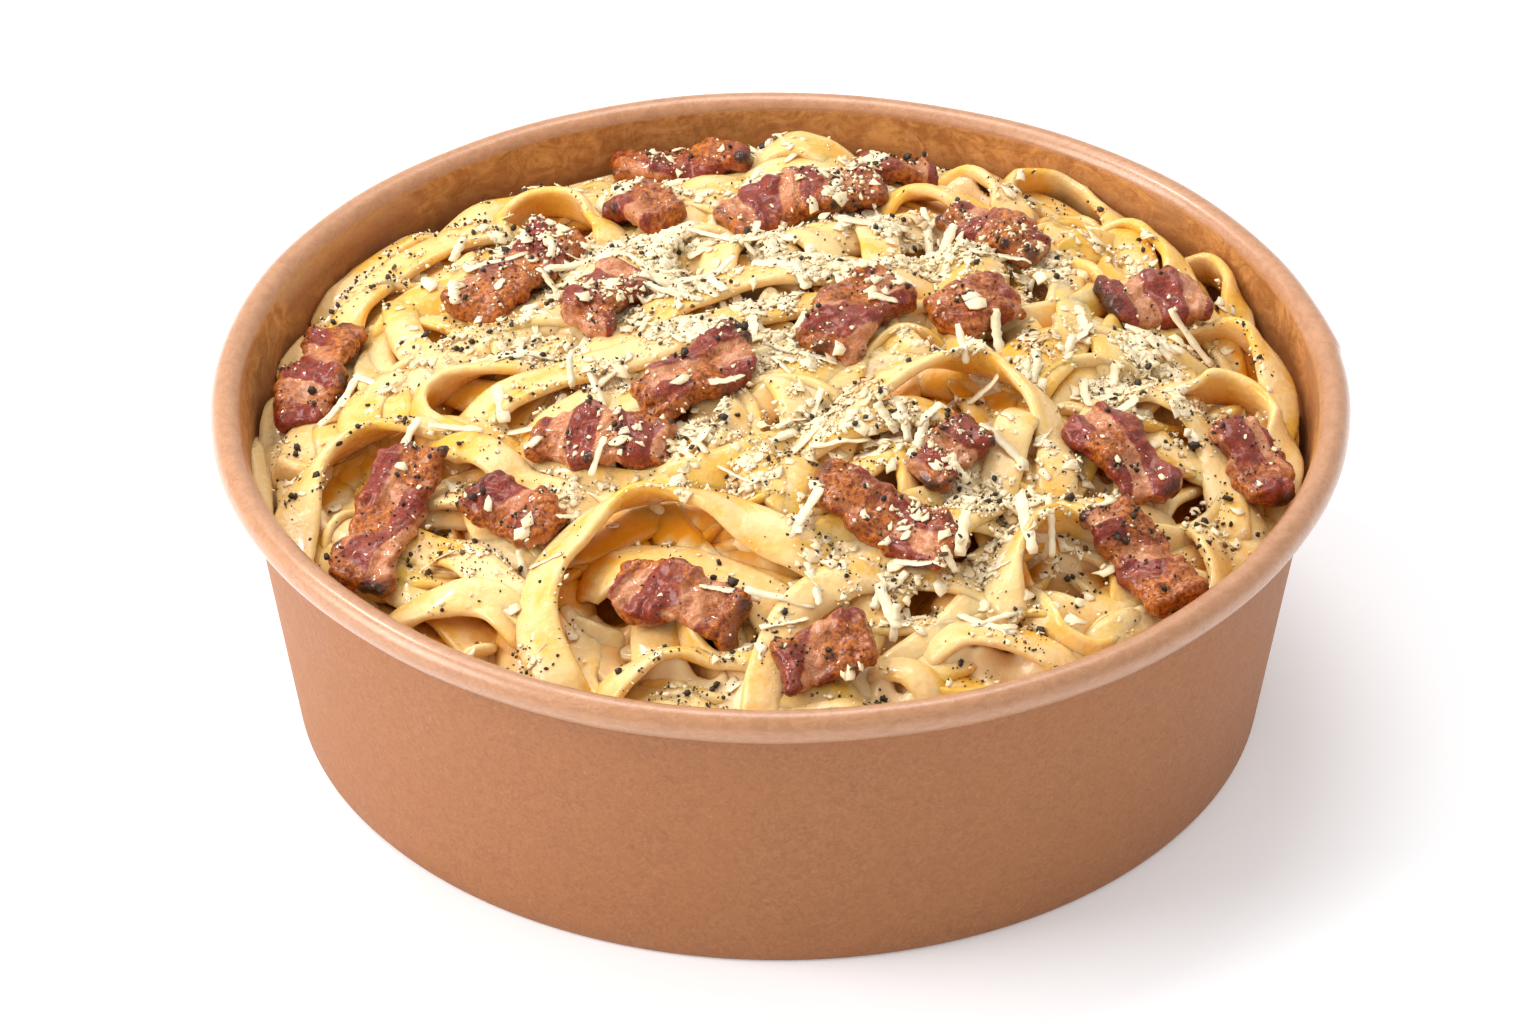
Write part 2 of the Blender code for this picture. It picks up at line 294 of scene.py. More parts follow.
class Shader:
    """A Principled material and a few short ways to wire its nodes."""

    def __init__(self, name, roughness, **sockets):
        self.material = bpy.data.materials.new(name)
        self.material.use_nodes = True
        self.tree = self.material.node_tree
        self.surface = self.tree.nodes["Principled BSDF"]
        self.surface.inputs["Roughness"].default_value = roughness
        for socket, value in sockets.items():
            self.surface.inputs[socket.replace("_", " ")].default_value = value
        self.place = self.node("ShaderNodeTexCoord").outputs["Object"]

    def node(self, kind, **settings):
        made = self.tree.nodes.new(kind)
        for key, value in settings.items():
            setattr(made, key, value)
        return made

    def link(self, source, target):
        self.tree.links.new(source, target)

    def tint(self):
        """The first three channels of the point colours, as separate values."""
        source = self.node("ShaderNodeAttribute", attribute_name="tint")
        parts = self.node("ShaderNodeSeparateColor")
        self.link(source.outputs["Color"], parts.inputs["Color"])
        return parts.outputs["Red"], parts.outputs["Green"], parts.outputs["Blue"]

    def noise(self, size, detail=3.0, rough=0.55, stretch=(1, 1, 1), warp=0.0):
        """Noise from 0 to 1 with features about one size across."""
        mapping = self.node("ShaderNodeMapping")
        self.link(self.place, mapping.inputs["Vector"])
        mapping.inputs["Scale"].default_value = [part / size for part in stretch]
        made = self.node("ShaderNodeTexNoise")
        made.inputs["Scale"].default_value = 1.0
        made.inputs["Detail"].default_value = detail
        made.inputs["Roughness"].default_value = rough
        made.inputs["Distortion"].default_value = warp
        self.link(mapping.outputs["Vector"], made.inputs["Vector"])
        return made.outputs["Fac"]

    def between(self, value, low, high, to_low=0.0, to_high=1.0):
        """The value's part of the way from low to high, clamped."""
        made = self.node("ShaderNodeMapRange")
        for socket, number in zip(made.inputs[1:5], (low, high, to_low, to_high)):
            socket.default_value = number
        self.link(value, made.inputs["Value"])
        return made.outputs["Result"]

    def maths(self, operation, first, second):
        made = self.node("ShaderNodeMath", operation=operation)
        for socket, value in zip(made.inputs, (first, second)):
            if isinstance(value, (int, float)):
                socket.default_value = value
            else:
                self.link(value, socket)
        return made.outputs["Value"]

    def mix(self, factor, first, second):
        """Colour that goes from first to second; each is a link or red, green and blue."""
        made = self.node("ShaderNodeMix", data_type="RGBA")
        self.link(factor, made.inputs["Factor"])
        for socket, value in ((made.inputs[6], first), (made.inputs[7], second)):
            if isinstance(value, tuple):
                socket.default_value = (*value, 1.0)
            else:
                self.link(value, socket)
        return made.outputs[2]

    def paint(self, colour, *coats):
        """The colour under coats: for each a value, where it starts and is full, strength and colour."""
        for value, low, high, strength, over in coats:
            colour = self.mix(self.between(value, low, high, 0.0, strength), colour, over)
        return colour

    def bump(self, height, depth, below=None):
        made = self.node("ShaderNodeBump")
        made.inputs["Distance"].default_value = depth
        self.link(height, made.inputs["Height"])
        if below:
            self.link(below, made.inputs["Normal"])
        return made.outputs["Normal"]

    def finish(self, colour, normal=None, roughness=None):
        self.link(colour, self.surface.inputs["Base Color"])
        if normal:
            self.link(normal, self.surface.inputs["Normal"])
        if roughness:
            self.link(roughness, self.surface.inputs["Roughness"])
        return self.material


def soften(shader, weight, radius, scale):
    """Light that soaks in: how much, how far for each colour, and the scale in metres."""
    shader.surface.inputs["Subsurface Weight"].default_value = weight
    shader.surface.inputs["Subsurface Radius"].default_value = radius
    shader.surface.inputs["Subsurface Scale"].default_value = scale


def kraft_material():
    """Brown paper board: pulp fibres, clouds and specks, and a paler rim that is partly painted sheen. Tint
    channels: inside, rim and grease.
    """
    shader = Shader("kraft board", 0.55, Specular_IOR_Level=0.5)
    inside, rim, grease = shader.tint()
    fibre_and_glint = shader.noise(0.0010, 6.0, 0.72, (1, 1, 1), 1.6)
    cloud = shader.noise(0.0080, 4.0, 0.6)
    speck = shader.noise(0.00060, 2.0, 0.5, (1, 1, 1), 1.0)
    scuff = shader.noise(0.0030, 5.0, 0.7, (1, 1, 2), 1.8)
    blotch = shader.noise(0.0055, 5.0, 0.68, (1, 1, 1.3), 2.2)
    streak = shader.noise(0.0011, 4.0, 0.6, (1, 1, 0.25), 0.5)
    colour = shader.paint((0.278, 0.096, 0.027),
                          (fibre_and_glint, 0.36, 0.64, 1.00, (0.395, 0.153, 0.050)),
                          (cloud, 0.35, 0.70, 0.40, (0.370, 0.146, 0.050)),
                          (speck, 0.64, 0.74, 0.55, (0.220, 0.082, 0.030)),
                          (speck, 0.36, 0.26, 0.45, (0.460, 0.215, 0.090)))
    inner = shader.paint((0.36, 0.130, 0.024),
                         (blotch, 0.38, 0.62, 1.00, (0.62, 0.290, 0.082)),
                         (scuff, 0.50, 0.66, 0.65, (0.30, 0.098, 0.016)),
                         (streak, 0.52, 0.72, 0.35, (0.64, 0.340, 0.150)))
    colour = shader.mix(inside, colour, inner)
    # Painted highlight: the rim is paler than the wall partly as painted sheen on the bead's top, and its
    # pale streaks are painted glints.
    edge = shader.paint((0.49, 0.225, 0.098),
                        (scuff, 0.42, 0.62, 1.0, (0.41, 0.175, 0.068)),
                        (fibre_and_glint, 0.55, 0.72, 0.5, (0.58, 0.315, 0.165)),
                        (streak, 0.68, 0.78, 0.5, (0.30, 0.110, 0.036)))
    colour = shader.mix(rim, colour, edge)
    colour = shader.mix(grease, colour, (0.28, 0.10, 0.026))
    normal = shader.bump(fibre_and_glint, 0.00009)
    normal = shader.bump(cloud, 0.00016, normal)
    gloss = shader.between(cloud, 0.3, 0.7, 0.54, 0.66)
    gloss = shader.maths("SUBTRACT", gloss, shader.between(rim, 0.0, 1.0, 0.0, 0.30))
    shader.link(shader.between(rim, 0.0, 1.0, 0.0, 0.9), shader.surface.inputs["Coat Weight"])
    shader.surface.inputs["Coat Roughness"].default_value = 0.28
    return shader.finish(colour, normal, gloss)


def dust(shader, colour, normal):
    """The finest cheese, too small to be laid as pieces. The tint's fourth channel says how thick it lies."""
    source = shader.node("ShaderNodeAttribute", attribute_name="tint")
    crumb = shader.noise(0.00075, 3.0, 0.6, (1, 1, 1), 0.6)
    amount = shader.maths("ADD", crumb, shader.between(source.outputs["Alpha"], 0.0, 1.0, -0.40, 0.34))
    cover = shader.between(amount, 0.44, 0.56)
    colour = shader.mix(shader.maths("MULTIPLY", cover, 0.75), colour, (0.89, 0.73, 0.46))
    return colour, shader.bump(cover, 0.00022, normal), cover


def noodle_material():
    """Boiled pasta under a coat of cream. Tint channels: cream, depth (painted shade), the strand's tone and
    cheese dust.
    """
    shader = Shader("pasta in cream", 0.30, Specular_IOR_Level=0.22, Coat_Weight=0.35, Coat_Roughness=0.15)
    coat, depth, tone = shader.tint()
    cloud = shader.noise(0.0050, 3.0)
    fine = shader.noise(0.0012, 4.0, 0.6)
    cover = shader.maths("ADD", coat, shader.between(cloud, 0.3, 0.7, -0.25, 0.45))
    colour = shader.paint((0.80, 0.44, 0.060),
                          (cover, 0.20, 0.75, 1.00, (0.87, 0.615, 0.290)),
                          (tone, 0.0, 1.0, 0.30, (0.80, 0.45, 0.075)),
                          (fine, 0.52, 0.72, 0.45, (0.87, 0.67, 0.38)),
                          (fine, 0.44, 0.30, 0.30, (0.78, 0.45, 0.09)))
    # Painted shade: the pasta turns deep amber where it lies deep in the heap's creases.
    colour = shader.mix(depth, colour, (0.76, 0.29, 0.010))
    soften(shader, 0.35, (1.0, 0.72, 0.42), 0.0022)
    normal = shader.bump(fine, 0.00016)
    normal = shader.bump(cloud, 0.00055, normal)
    colour, normal, cover = dust(shader, colour, normal)
    gloss = shader.maths("ADD", shader.between(fine, 0.3, 0.7, 0.14, 0.32),
                         shader.maths("MULTIPLY", cover, 0.20))
    return shader.finish(colour, normal, gloss)


def sauce_material():
    """Cream sauce: pale, smooth and wet. Tint channels: depth (painted shade) is the second and cheese dust
    the fourth.
    """
    shader = Shader("cream sauce", 0.20, Specular_IOR_Level=0.22, Coat_Weight=0.45, Coat_Roughness=0.12)
    _, depth, _ = shader.tint()
    cloud = shader.noise(0.0045, 3.0)
    fine = shader.noise(0.0011, 3.0)
    colour = shader.mix(shader.between(cloud, 0.35, 0.65), (0.83, 0.57, 0.27), (0.86, 0.64, 0.35))
    # Painted shade: the sauce turns deep amber where it lies deep between the noodles.
    colour = shader.mix(depth, colour, (0.76, 0.31, 0.015))
    soften(shader, 0.35, (1.0, 0.75, 0.5), 0.0020)
    normal = shader.bump(fine, 0.00012)
    normal = shader.bump(cloud, 0.00045, normal)
    colour, normal, cover = dust(shader, colour, normal)
    gloss = shader.maths("ADD", shader.between(fine, 0.3, 0.7, 0.16, 0.26),
                         shader.maths("MULTIPLY", cover, 0.25))
    return shader.finish(colour, normal, gloss)


def bacon_material():
    """Fried bacon: red meat, pink fat, orange crisping and char. Tint channels: fat, crisp and char."""
    shader = Shader("fried bacon", 0.30, Specular_IOR_Level=0.22, Coat_Weight=0.50, Coat_Roughness=0.15)
    fat, crisp, char = shader.tint()
    grain = shader.noise(0.0011, 4.0, 0.65, (1, 1, 1), 0.8)
    cloud = shader.noise(0.0034, 3.0)
    speck = shader.noise(0.0006, 2.0)
    meat = shader.paint((0.15, 0.012, 0.003),
                        (grain, 0.35, 0.65, 1.00, (0.31, 0.038, 0.012)),
                        (cloud, 0.52, 0.68, 0.65, (0.38, 0.115, 0.070)),
                        (speck, 0.64, 0.76, 0.40, (0.48, 0.200, 0.120)))
    lard = shader.mix(shader.between(grain, 0.35, 0.65), (0.46, 0.130, 0.036), (0.66, 0.33, 0.17))
    colour = shader.mix(shader.between(fat, 0.35, 0.62), meat, lard)
    fried = shader.mix(shader.between(speck, 0.35, 0.62), (0.17, 0.024, 0.003), (0.56, 0.165, 0.016))
    browned = shader.maths("ADD", crisp, shader.between(grain, 0.3, 0.7, -0.25, 0.25))
    colour = shader.mix(shader.between(browned, 0.30, 0.62, 0.0, 0.95), colour, fried)
    burnt = shader.maths("ADD", char, shader.between(speck, 0.4, 0.75, -0.12, 0.30))
    colour = shader.mix(shader.between(burnt, 0.35, 0.80), colour, (0.055, 0.014, 0.004))
    soften(shader, 0.20, (1.0, 0.30, 0.18), 0.0012)
    normal = shader.bump(grain, 0.00038)
    normal = shader.bump(speck, 0.00020, normal)
    gloss = shader.between(grain, 0.3, 0.7, 0.14, 0.38)
    return shader.finish(colour, normal, gloss)


def cheese_material():
    """Grated hard cheese: ivory and a little see-through. Tint channels: toast and tone."""
    shader = Shader("grated cheese", 0.42, Specular_IOR_Level=0.45)
    toast, tone, _ = shader.tint()
    grain = shader.noise(0.0008, 3.0)
    colour = shader.paint((0.93, 0.745, 0.455),
                          (grain, 0.35, 0.65, 1.0, (0.96, 0.83, 0.60)),
                          (tone, 0.0, 1.0, 0.4, (0.86, 0.64, 0.34)),
                          (toast, 0.0, 1.0, 0.8, (0.62, 0.33, 0.10)))
    soften(shader, 0.30, (1.0, 1.0, 1.0), 0.0003)
    return shader.finish(colour, shader.bump(grain, 0.00010))


def pepper_material():
    """Cracked black pepper. Tint channel: pale heart."""
    shader = Shader("black pepper", 0.55, Specular_IOR_Level=0.4)
    heart, _, _ = shader.tint()
    grain = shader.noise(0.0004, 3.0)
    colour = shader.mix(shader.between(grain, 0.35, 0.7), (0.012, 0.008, 0.005), (0.075, 0.045, 0.022))
    colour = shader.mix(heart, colour, (0.24, 0.12, 0.040))
    return shader.finish(colour, shader.bump(grain, 0.00008))


def floor_material():
    """Pale and plain, with a little light of its own so that the shadow on it stays soft."""
    shader = Shader("pale floor", 0.85, Specular_IOR_Level=0.1, Emission_Strength=0.16)
    shader.surface.inputs["Emission Color"].default_value = (1.0, 1.0, 1.0, 1.0)
    cloud = shader.noise(0.30, 2.0)
    return shader.finish(shader.mix(cloud, (0.89, 0.92, 0.96), (0.90, 0.93, 0.97)))


# ---------------------------------------------------------------- bowl

def wall_radius(z, inset=0.0):
    """Radius of the middle of the side wall's board at height z, or of a layer that lies inset inside it."""
    top_z = BOWL_HEIGHT - ROLL_RADIUS
    top_radius = RIM_RADIUS - 2 * ROLL_RADIUS + BOARD / 2
    foot_radius = FOOT_RADIUS - BOARD / 2
    return foot_radius + (top_radius - foot_radius) * z / top_z - inset


def fine_line(points, step):
    """Points every step along a line of points, keeping the line's own points."""
    line = [points[0]]
    for start, end in zip(points[:-1], points[1:]):
        start, end = np.array(start), np.array(end)
        parts = max(1, int(np.hypot(*(end - start)) / step))
        line += [tuple(start + (end - start) * part / parts) for part in range(1, parts + 1)]
    return np.array(line)


def board_outline(line):
    """Outline of paper board whose middle runs along the line: its one face and back along the other."""
    ahead = np.gradient(line, axis=0)
    ahead /= np.linalg.norm(ahead, axis=1)[:, None]
    across = np.stack([-ahead[:, 1], ahead[:, 0]], axis=1) * BOARD / 2
    return np.concatenate([line + across, (line - across)[::-1]])


def turn_outline(outline, segments, wobble):
    """Points of the outline turned about Z, ring after ring, moved by wobble(angle, radius, z)."""
    angles = np.arange(segments) * 2 * math.pi / segments
    angle, radius = np.meshgrid(angles, outline[:, 0], indexing="ij")
    z = np.broadcast_to(outline[:, 1], radius.shape)
    radius, z = wobble(angle, radius, z)
    return np.stack([radius * np.cos(angle), radius * np.sin(angle), z], axis=-1)


def rim_wobble(angle, radius, z):
    """Hand-made unevenness: a rim not quite round or level, and the step where the board's ends overlap."""
    height = np.clip(z / BOWL_HEIGHT, 0.0, 1.0) ** 3
    sway = 0.22 * MM * np.sin(3 * angle + 0.7) + 0.12 * MM * np.sin(7 * angle + 2.0)
    sway = sway + 0.05 * MM * np.sin(19 * angle)
    past = (angle - SEAM_ANGLE) % (2 * math.pi)
    overlap = np.where(past < SEAM_TURN, 1.0 - past / SEAM_TURN, 0.0)
    outer = radius > wall_radius(z) - BOARD / 4
    step = np.where(outer, SEAM_STEP * overlap, 0.0) * np.clip(z / SEAM_FOOT, 0.0, 1.0)
    radius = radius + sway * height + step
    return radius, z + 0.10 * MM * np.sin(2 * angle + 1.0) * height


def make_wall(material):
    """Side wall: hem inside the foot, flat fold to stand on, tapered side and the bead rolled outwards."""
    roll_x = RIM_RADIUS - ROLL_RADIUS
    roll_z = BOWL_HEIGHT - ROLL_RADIUS
    reach = ROLL_RADIUS - BOARD / 2
    corners = [
        (wall_radius(HEM_HEIGHT, 2 * LAYER), HEM_HEIGHT),
        (wall_radius(0.0, 2 * LAYER), BOARD / 2),
        (wall_radius(0.0) - 0.3 * MM, BOARD / 2),
        (wall_radius(0.4 * MM), 0.5 * MM + BOARD / 2),
    ]
    line = fine_line(corners + [(wall_radius(roll_z), roll_z)], WALL_STEP)
    turns = np.arange(1, ROLL_STEPS + 1) / ROLL_STEPS
    angle = math.pi - ROLL_TURN * turns
    lip = LIP_RISE * np.exp(-(((angle - LIP_ANGLE) / LIP_SPREAD) ** 2))
    tuck = reach * (1.0 - ROLL_TUCK * np.clip(turns - 0.6, 0.0, 1.0)) + lip
    roll = np.stack([roll_x + tuck * np.cos(angle), roll_z + tuck * np.sin(angle)], axis=1)
    outline = board_outline(np.concatenate([line, roll]))
    points = turn_outline(outline, BOWL_SEGMENTS, rim_wobble)
    around = np.arctan2(points[..., 1], points[..., 0])
    radius, z = np.hypot(points[..., 0], points[..., 1]), points[..., 2]
    inside = (radius < wall_radius(z) - BOARD / 5) & (z > BASE_LIFT) & (z < roll_z + 0.8 * MM)
    rim = np.clip((z - (roll_z - 2.4 * MM)) / (0.4 * MM), 0, 1) * (radius > wall_radius(roll_z) - 0.1 * MM)
    rim = np.maximum(rim, np.clip((z - roll_z - 0.4 * MM) / MM, 0, 1))
    edge = heap_top(points[..., 0], points[..., 1]) + 1.0 * MM + 1.2 * MM * np.sin(9 * around)
    grease = np.clip(1.0 - (z - edge) / (3.5 * MM), 0.0, 1.0) * inside * 0.75
    tints = np.stack([inside.astype(float), rim, grease], axis=-1).reshape(-1, 3)
    quads = grid_faces(*points.shape[:2])
    wall = make_piece("bowl_wall_fine", points.reshape(-1, 3), [quads], material, tints)
    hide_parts("bowl_wall")


def make_base(material):
    """Base disc, raised inside the foot, with a skirt that hangs in the hem."""
    edge = wall_radius(BASE_LIFT, LAYER)
    corners = [(0.0, BASE_LIFT), (edge - 1.2 * MM, BASE_LIFT), (edge - 0.5 * MM, BASE_LIFT - 0.1 * MM),
               (edge - 0.12 * MM, BASE_LIFT - 0.6 * MM), (wall_radius(SKIRT_END, LAYER), SKIRT_END)]
    outline = board_outline(fine_line(corners, BASE_STEP))[1:-1]
    points = turn_outline(outline, BOWL_SEGMENTS, lambda angle, radius, z: (radius, z))
    segments, sides = points.shape[:2]
    quads = grid_faces(segments, sides, open_columns=True)
    flat = points.reshape(-1, 3)
    middle = len(flat)
    flat = np.concatenate([flat, [(0, 0, BASE_LIFT + BOARD / 2), (0, 0, BASE_LIFT - BOARD / 2)]])
    ring = np.arange(segments)
    after = (ring + 1) % segments
    top = np.stack([np.full(segments, middle), ring * sides, after * sides], axis=1)
    last = sides - 1
    under = np.stack([np.full(segments, middle + 1), after * sides + last, ring * sides + last], axis=1)
    faces = [quads, np.concatenate([top, under])]
    base = make_piece("bowl_base_fine", flat, faces, material, np.zeros((len(flat), 3)))
    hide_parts("bowl_base")


# ---------------------------------------------------------------- the heap's relief

def mound_height(x, y):
    """The smooth shape of the heap: a low crown that falls away towards the wall."""
    reach = np.clip(np.hypot(x, y) / HEAP_REACH, 0.0, 1.05)
    rise = (HEAP_CROWN - HEAP_EDGE) * (1.0 - reach**HEAP_POWER)
    return HEAP_EDGE + rise + HEAP_LEAN * x / HEAP_REACH


def heap_top(x, y):
    """The heap that shows: the smooth shape, banked up against the wall at the back and the sides."""
    away = np.hypot(x, y)
    banked = np.clip((away - BANK_START) / BANK_WIDTH, 0.0, 1.0)
    banked = banked * np.clip(y / np.maximum(away, 1e-6) / 0.5, 0.0, 1.0)
    return mound_height(x, y) + BANK * banked * banked * (3 - 2 * banked)


class Relief:
    """Heights over a square grid of plan positions."""

    def __init__(self, start):
        side = round(2 * GRID_HALF / GRID_CELL) + 1
        axis = np.linspace(-GRID_HALF, GRID_HALF, side)
        self.x, self.y = np.meshgrid(axis, axis, indexing="ij")
        self.z = start(self.x, self.y) if callable(start) else np.full_like(self.x, start)
        self.last = side - 1

    def cells(self, x, y):
        row = np.clip(np.rint((x + GRID_HALF) / GRID_CELL).astype(int), 0, self.last)
        column = np.clip(np.rint((y + GRID_HALF) / GRID_CELL).astype(int), 0, self.last)
        return row, column

    def read(self, x, y):
        return self.z[self.cells(x, y)]

    def raise_to(self, x, y, z):
        np.maximum.at(self.z, self.cells(x, y), z)


def blur(field, cells):
    """Bell-curve mean over a grid, along both of its axes."""
    for _ in range(2):
        field = np.apply_along_axis(smooth_line, 0, field, cells).T
    return field


def spread(field, cells, pick):
    """The greatest (np.maximum) or least (np.minimum) height within a disc of each cell."""
    steps = range(-int(cells), int(cells) + 1)
    result = field.copy()
    for i, j in itertools.product(steps, steps):
        if i * i + j * j <= cells * cells + 0.5:
            pick(result, np.roll(field, (i, j), (0, 1)), out=result)
    return result


def slab_of(node):
    """The middle, axes and half sizes of a strip of bacon: along, across and up."""
    points = np.array([vert.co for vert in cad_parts[node].data.vertices])
    middle = (points.max(axis=0) + points.min(axis=0)) / 2
    _, _, axes = np.linalg.svd(points - points.mean(axis=0), full_matrices=False)
    if axes[2, 2] < 0:
        axes[2] *= -1
    if axes[0, 0] < 0:
        axes[0] *= -1
    axes[1] = np.cross(axes[2], axes[0])
    local = (points - middle) @ axes.T
    middle = middle + (local.max(axis=0) + local.min(axis=0)) / 2 @ axes
    half = (local.max(axis=0) - local.min(axis=0)) / 2
    return middle, axes, half


BACON = sorted(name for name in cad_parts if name.startswith("bacon_"))
SLABS = {name: slab_of(name) for name in BACON}


def bacon_ceiling(grid):
    """The most that noodles may rise near the bacon: just into its underside, and higher away from it."""
    ceiling = np.full_like(grid.x, 0.2)
    for middle, axes, half in SLABS.values():
        up = axes[2]
        over_x, over_y = grid.x - middle[0], grid.y - middle[1]
        plane = middle[2] - (up[0] * over_x + up[1] * over_y) / up[2]
        outside = []
        for axis, size in ((axes[0], half[0]), (axes[1], half[1])):
            flat = axis[:2] / np.hypot(*axis[:2])
            outside.append(np.clip(np.abs(over_x * flat[0] + over_y * flat[1]) - size + 0.4 * MM, 0, None))
        distance = np.hypot(*outside)
        limit = plane - 1.1 * MM + 1.3 * distance
        ceiling = np.where(distance < 4 * MM, np.minimum(ceiling, limit), ceiling)
    return ceiling


def hollow_depth(grid):
    """How much lower the heap stays inside the open loops."""
    depth = np.zeros_like(grid.x)
    for x, y, radius, deep in HOLLOWS:
        away = np.hypot(grid.x - x * MM, grid.y - y * MM) / (radius * MM)
        depth = np.maximum(depth, deep * MM * np.clip(1.6 - away, 0, 1))
    return depth


# ---------------------------------------------------------------- noodles

STEP = 0.9 * MM  # along a noodle
CHUNK = 12  # steps of a noodle that are laid at once
GAP_FILLED = 2.2 * MM  # sauce fills a gap under a noodle up to this
NOODLE_LENGTH = (0.060, 0.135)
BEND_RADIUS = (0.0085, 0.050)
ROLL_FOR_BEND = 0.0125  # radians of roll for each radian that a noodle turns in a metre
ROLL_GAIN = 1.25
MOST_ROLL = 1.35
END_LENGTH = 7 * MM  # a noodle's end dips into the heap over this length
END_DIP = 3.2 * MM


def curve_through(route, step):
    """Even points on a smooth curve through the route's points; every column is carried along."""
    route = np.asarray(route, float)
    knots = np.concatenate([[2 * route[0] - route[1]], route, [2 * route[-1] - route[-2]]])
    dense = []
    for i in range(1, len(knots) - 2):
        before, start, end, after = knots[i - 1 : i + 3]
        t = np.linspace(0, 1, 24, endpoint=False)[:, None]
        dense.append(0.5 * (2 * start + (end - before) * t + (2 * before - 5 * start + 4 * end - after) * t**2
                            + (3 * start - before - 3 * end + after) * t**3))
    dense = np.concatenate(dense + [knots[-2:-1]])
    length = np.concatenate([[0], np.cumsum(np.hypot(*np.diff(dense[:, :2], axis=0).T))])
    even = np.linspace(0, length[-1], max(4, int(length[-1] / step)))
    return np.stack([np.interp(even, length, column) for column in dense.T], axis=1)


def wander(rng, reach):
    """A curly route over the plan, from a random start, that keeps inside the bowl."""
    angle, away = rng.uniform(0, 2 * math.pi), reach * math.sqrt(rng.random())
    x, y = away * math.cos(angle), away * math.sin(angle)
    heading = rng.uniform(0, 2 * math.pi)
    side = rng.choice((-1, 1))
    bend = bend_goal = side / rng.uniform(0.014, 0.040)
    left = rng.uniform(0.010, 0.030)
    points = []
    for _ in range(int(rng.uniform(*NOODLE_LENGTH) / STEP)):
        points.append((x, y, 0.0))
        left -= STEP
        if left < 0:
            side = -side if rng.random() < 0.35 else side
            bend_goal = side / rng.uniform(*BEND_RADIUS)
            left = rng.uniform(0.010, 0.034)
        bend += (bend_goal - bend) * 0.12
        turn = bend
        away = math.hypot(x, y)
        if away > reach * 0.90:
            outward = (x * math.cos(heading) + y * math.sin(heading)) / away
            inward_side = math.copysign(1.0, math.cos(heading) * -y - math.sin(heading) * -x)
            turn = inward_side * (0.3 + max(outward, 0.0)) / 0.010 if outward > -0.15 else inward_side / reach
        heading += turn * STEP
        x += STEP * math.cos(heading)
        y += STEP * math.sin(heading)
        away = math.hypot(x, y)
        if away > reach:
            x, y = x * reach / away, y * reach / away
    return np.array(points)


def dusting(points):
    """How thickly the finest cheese lies, from 0 to 1."""
    return np.clip(density_of(points[:, :2], CHEESE_HEAPS, 0.12), 0.0, 1.0)


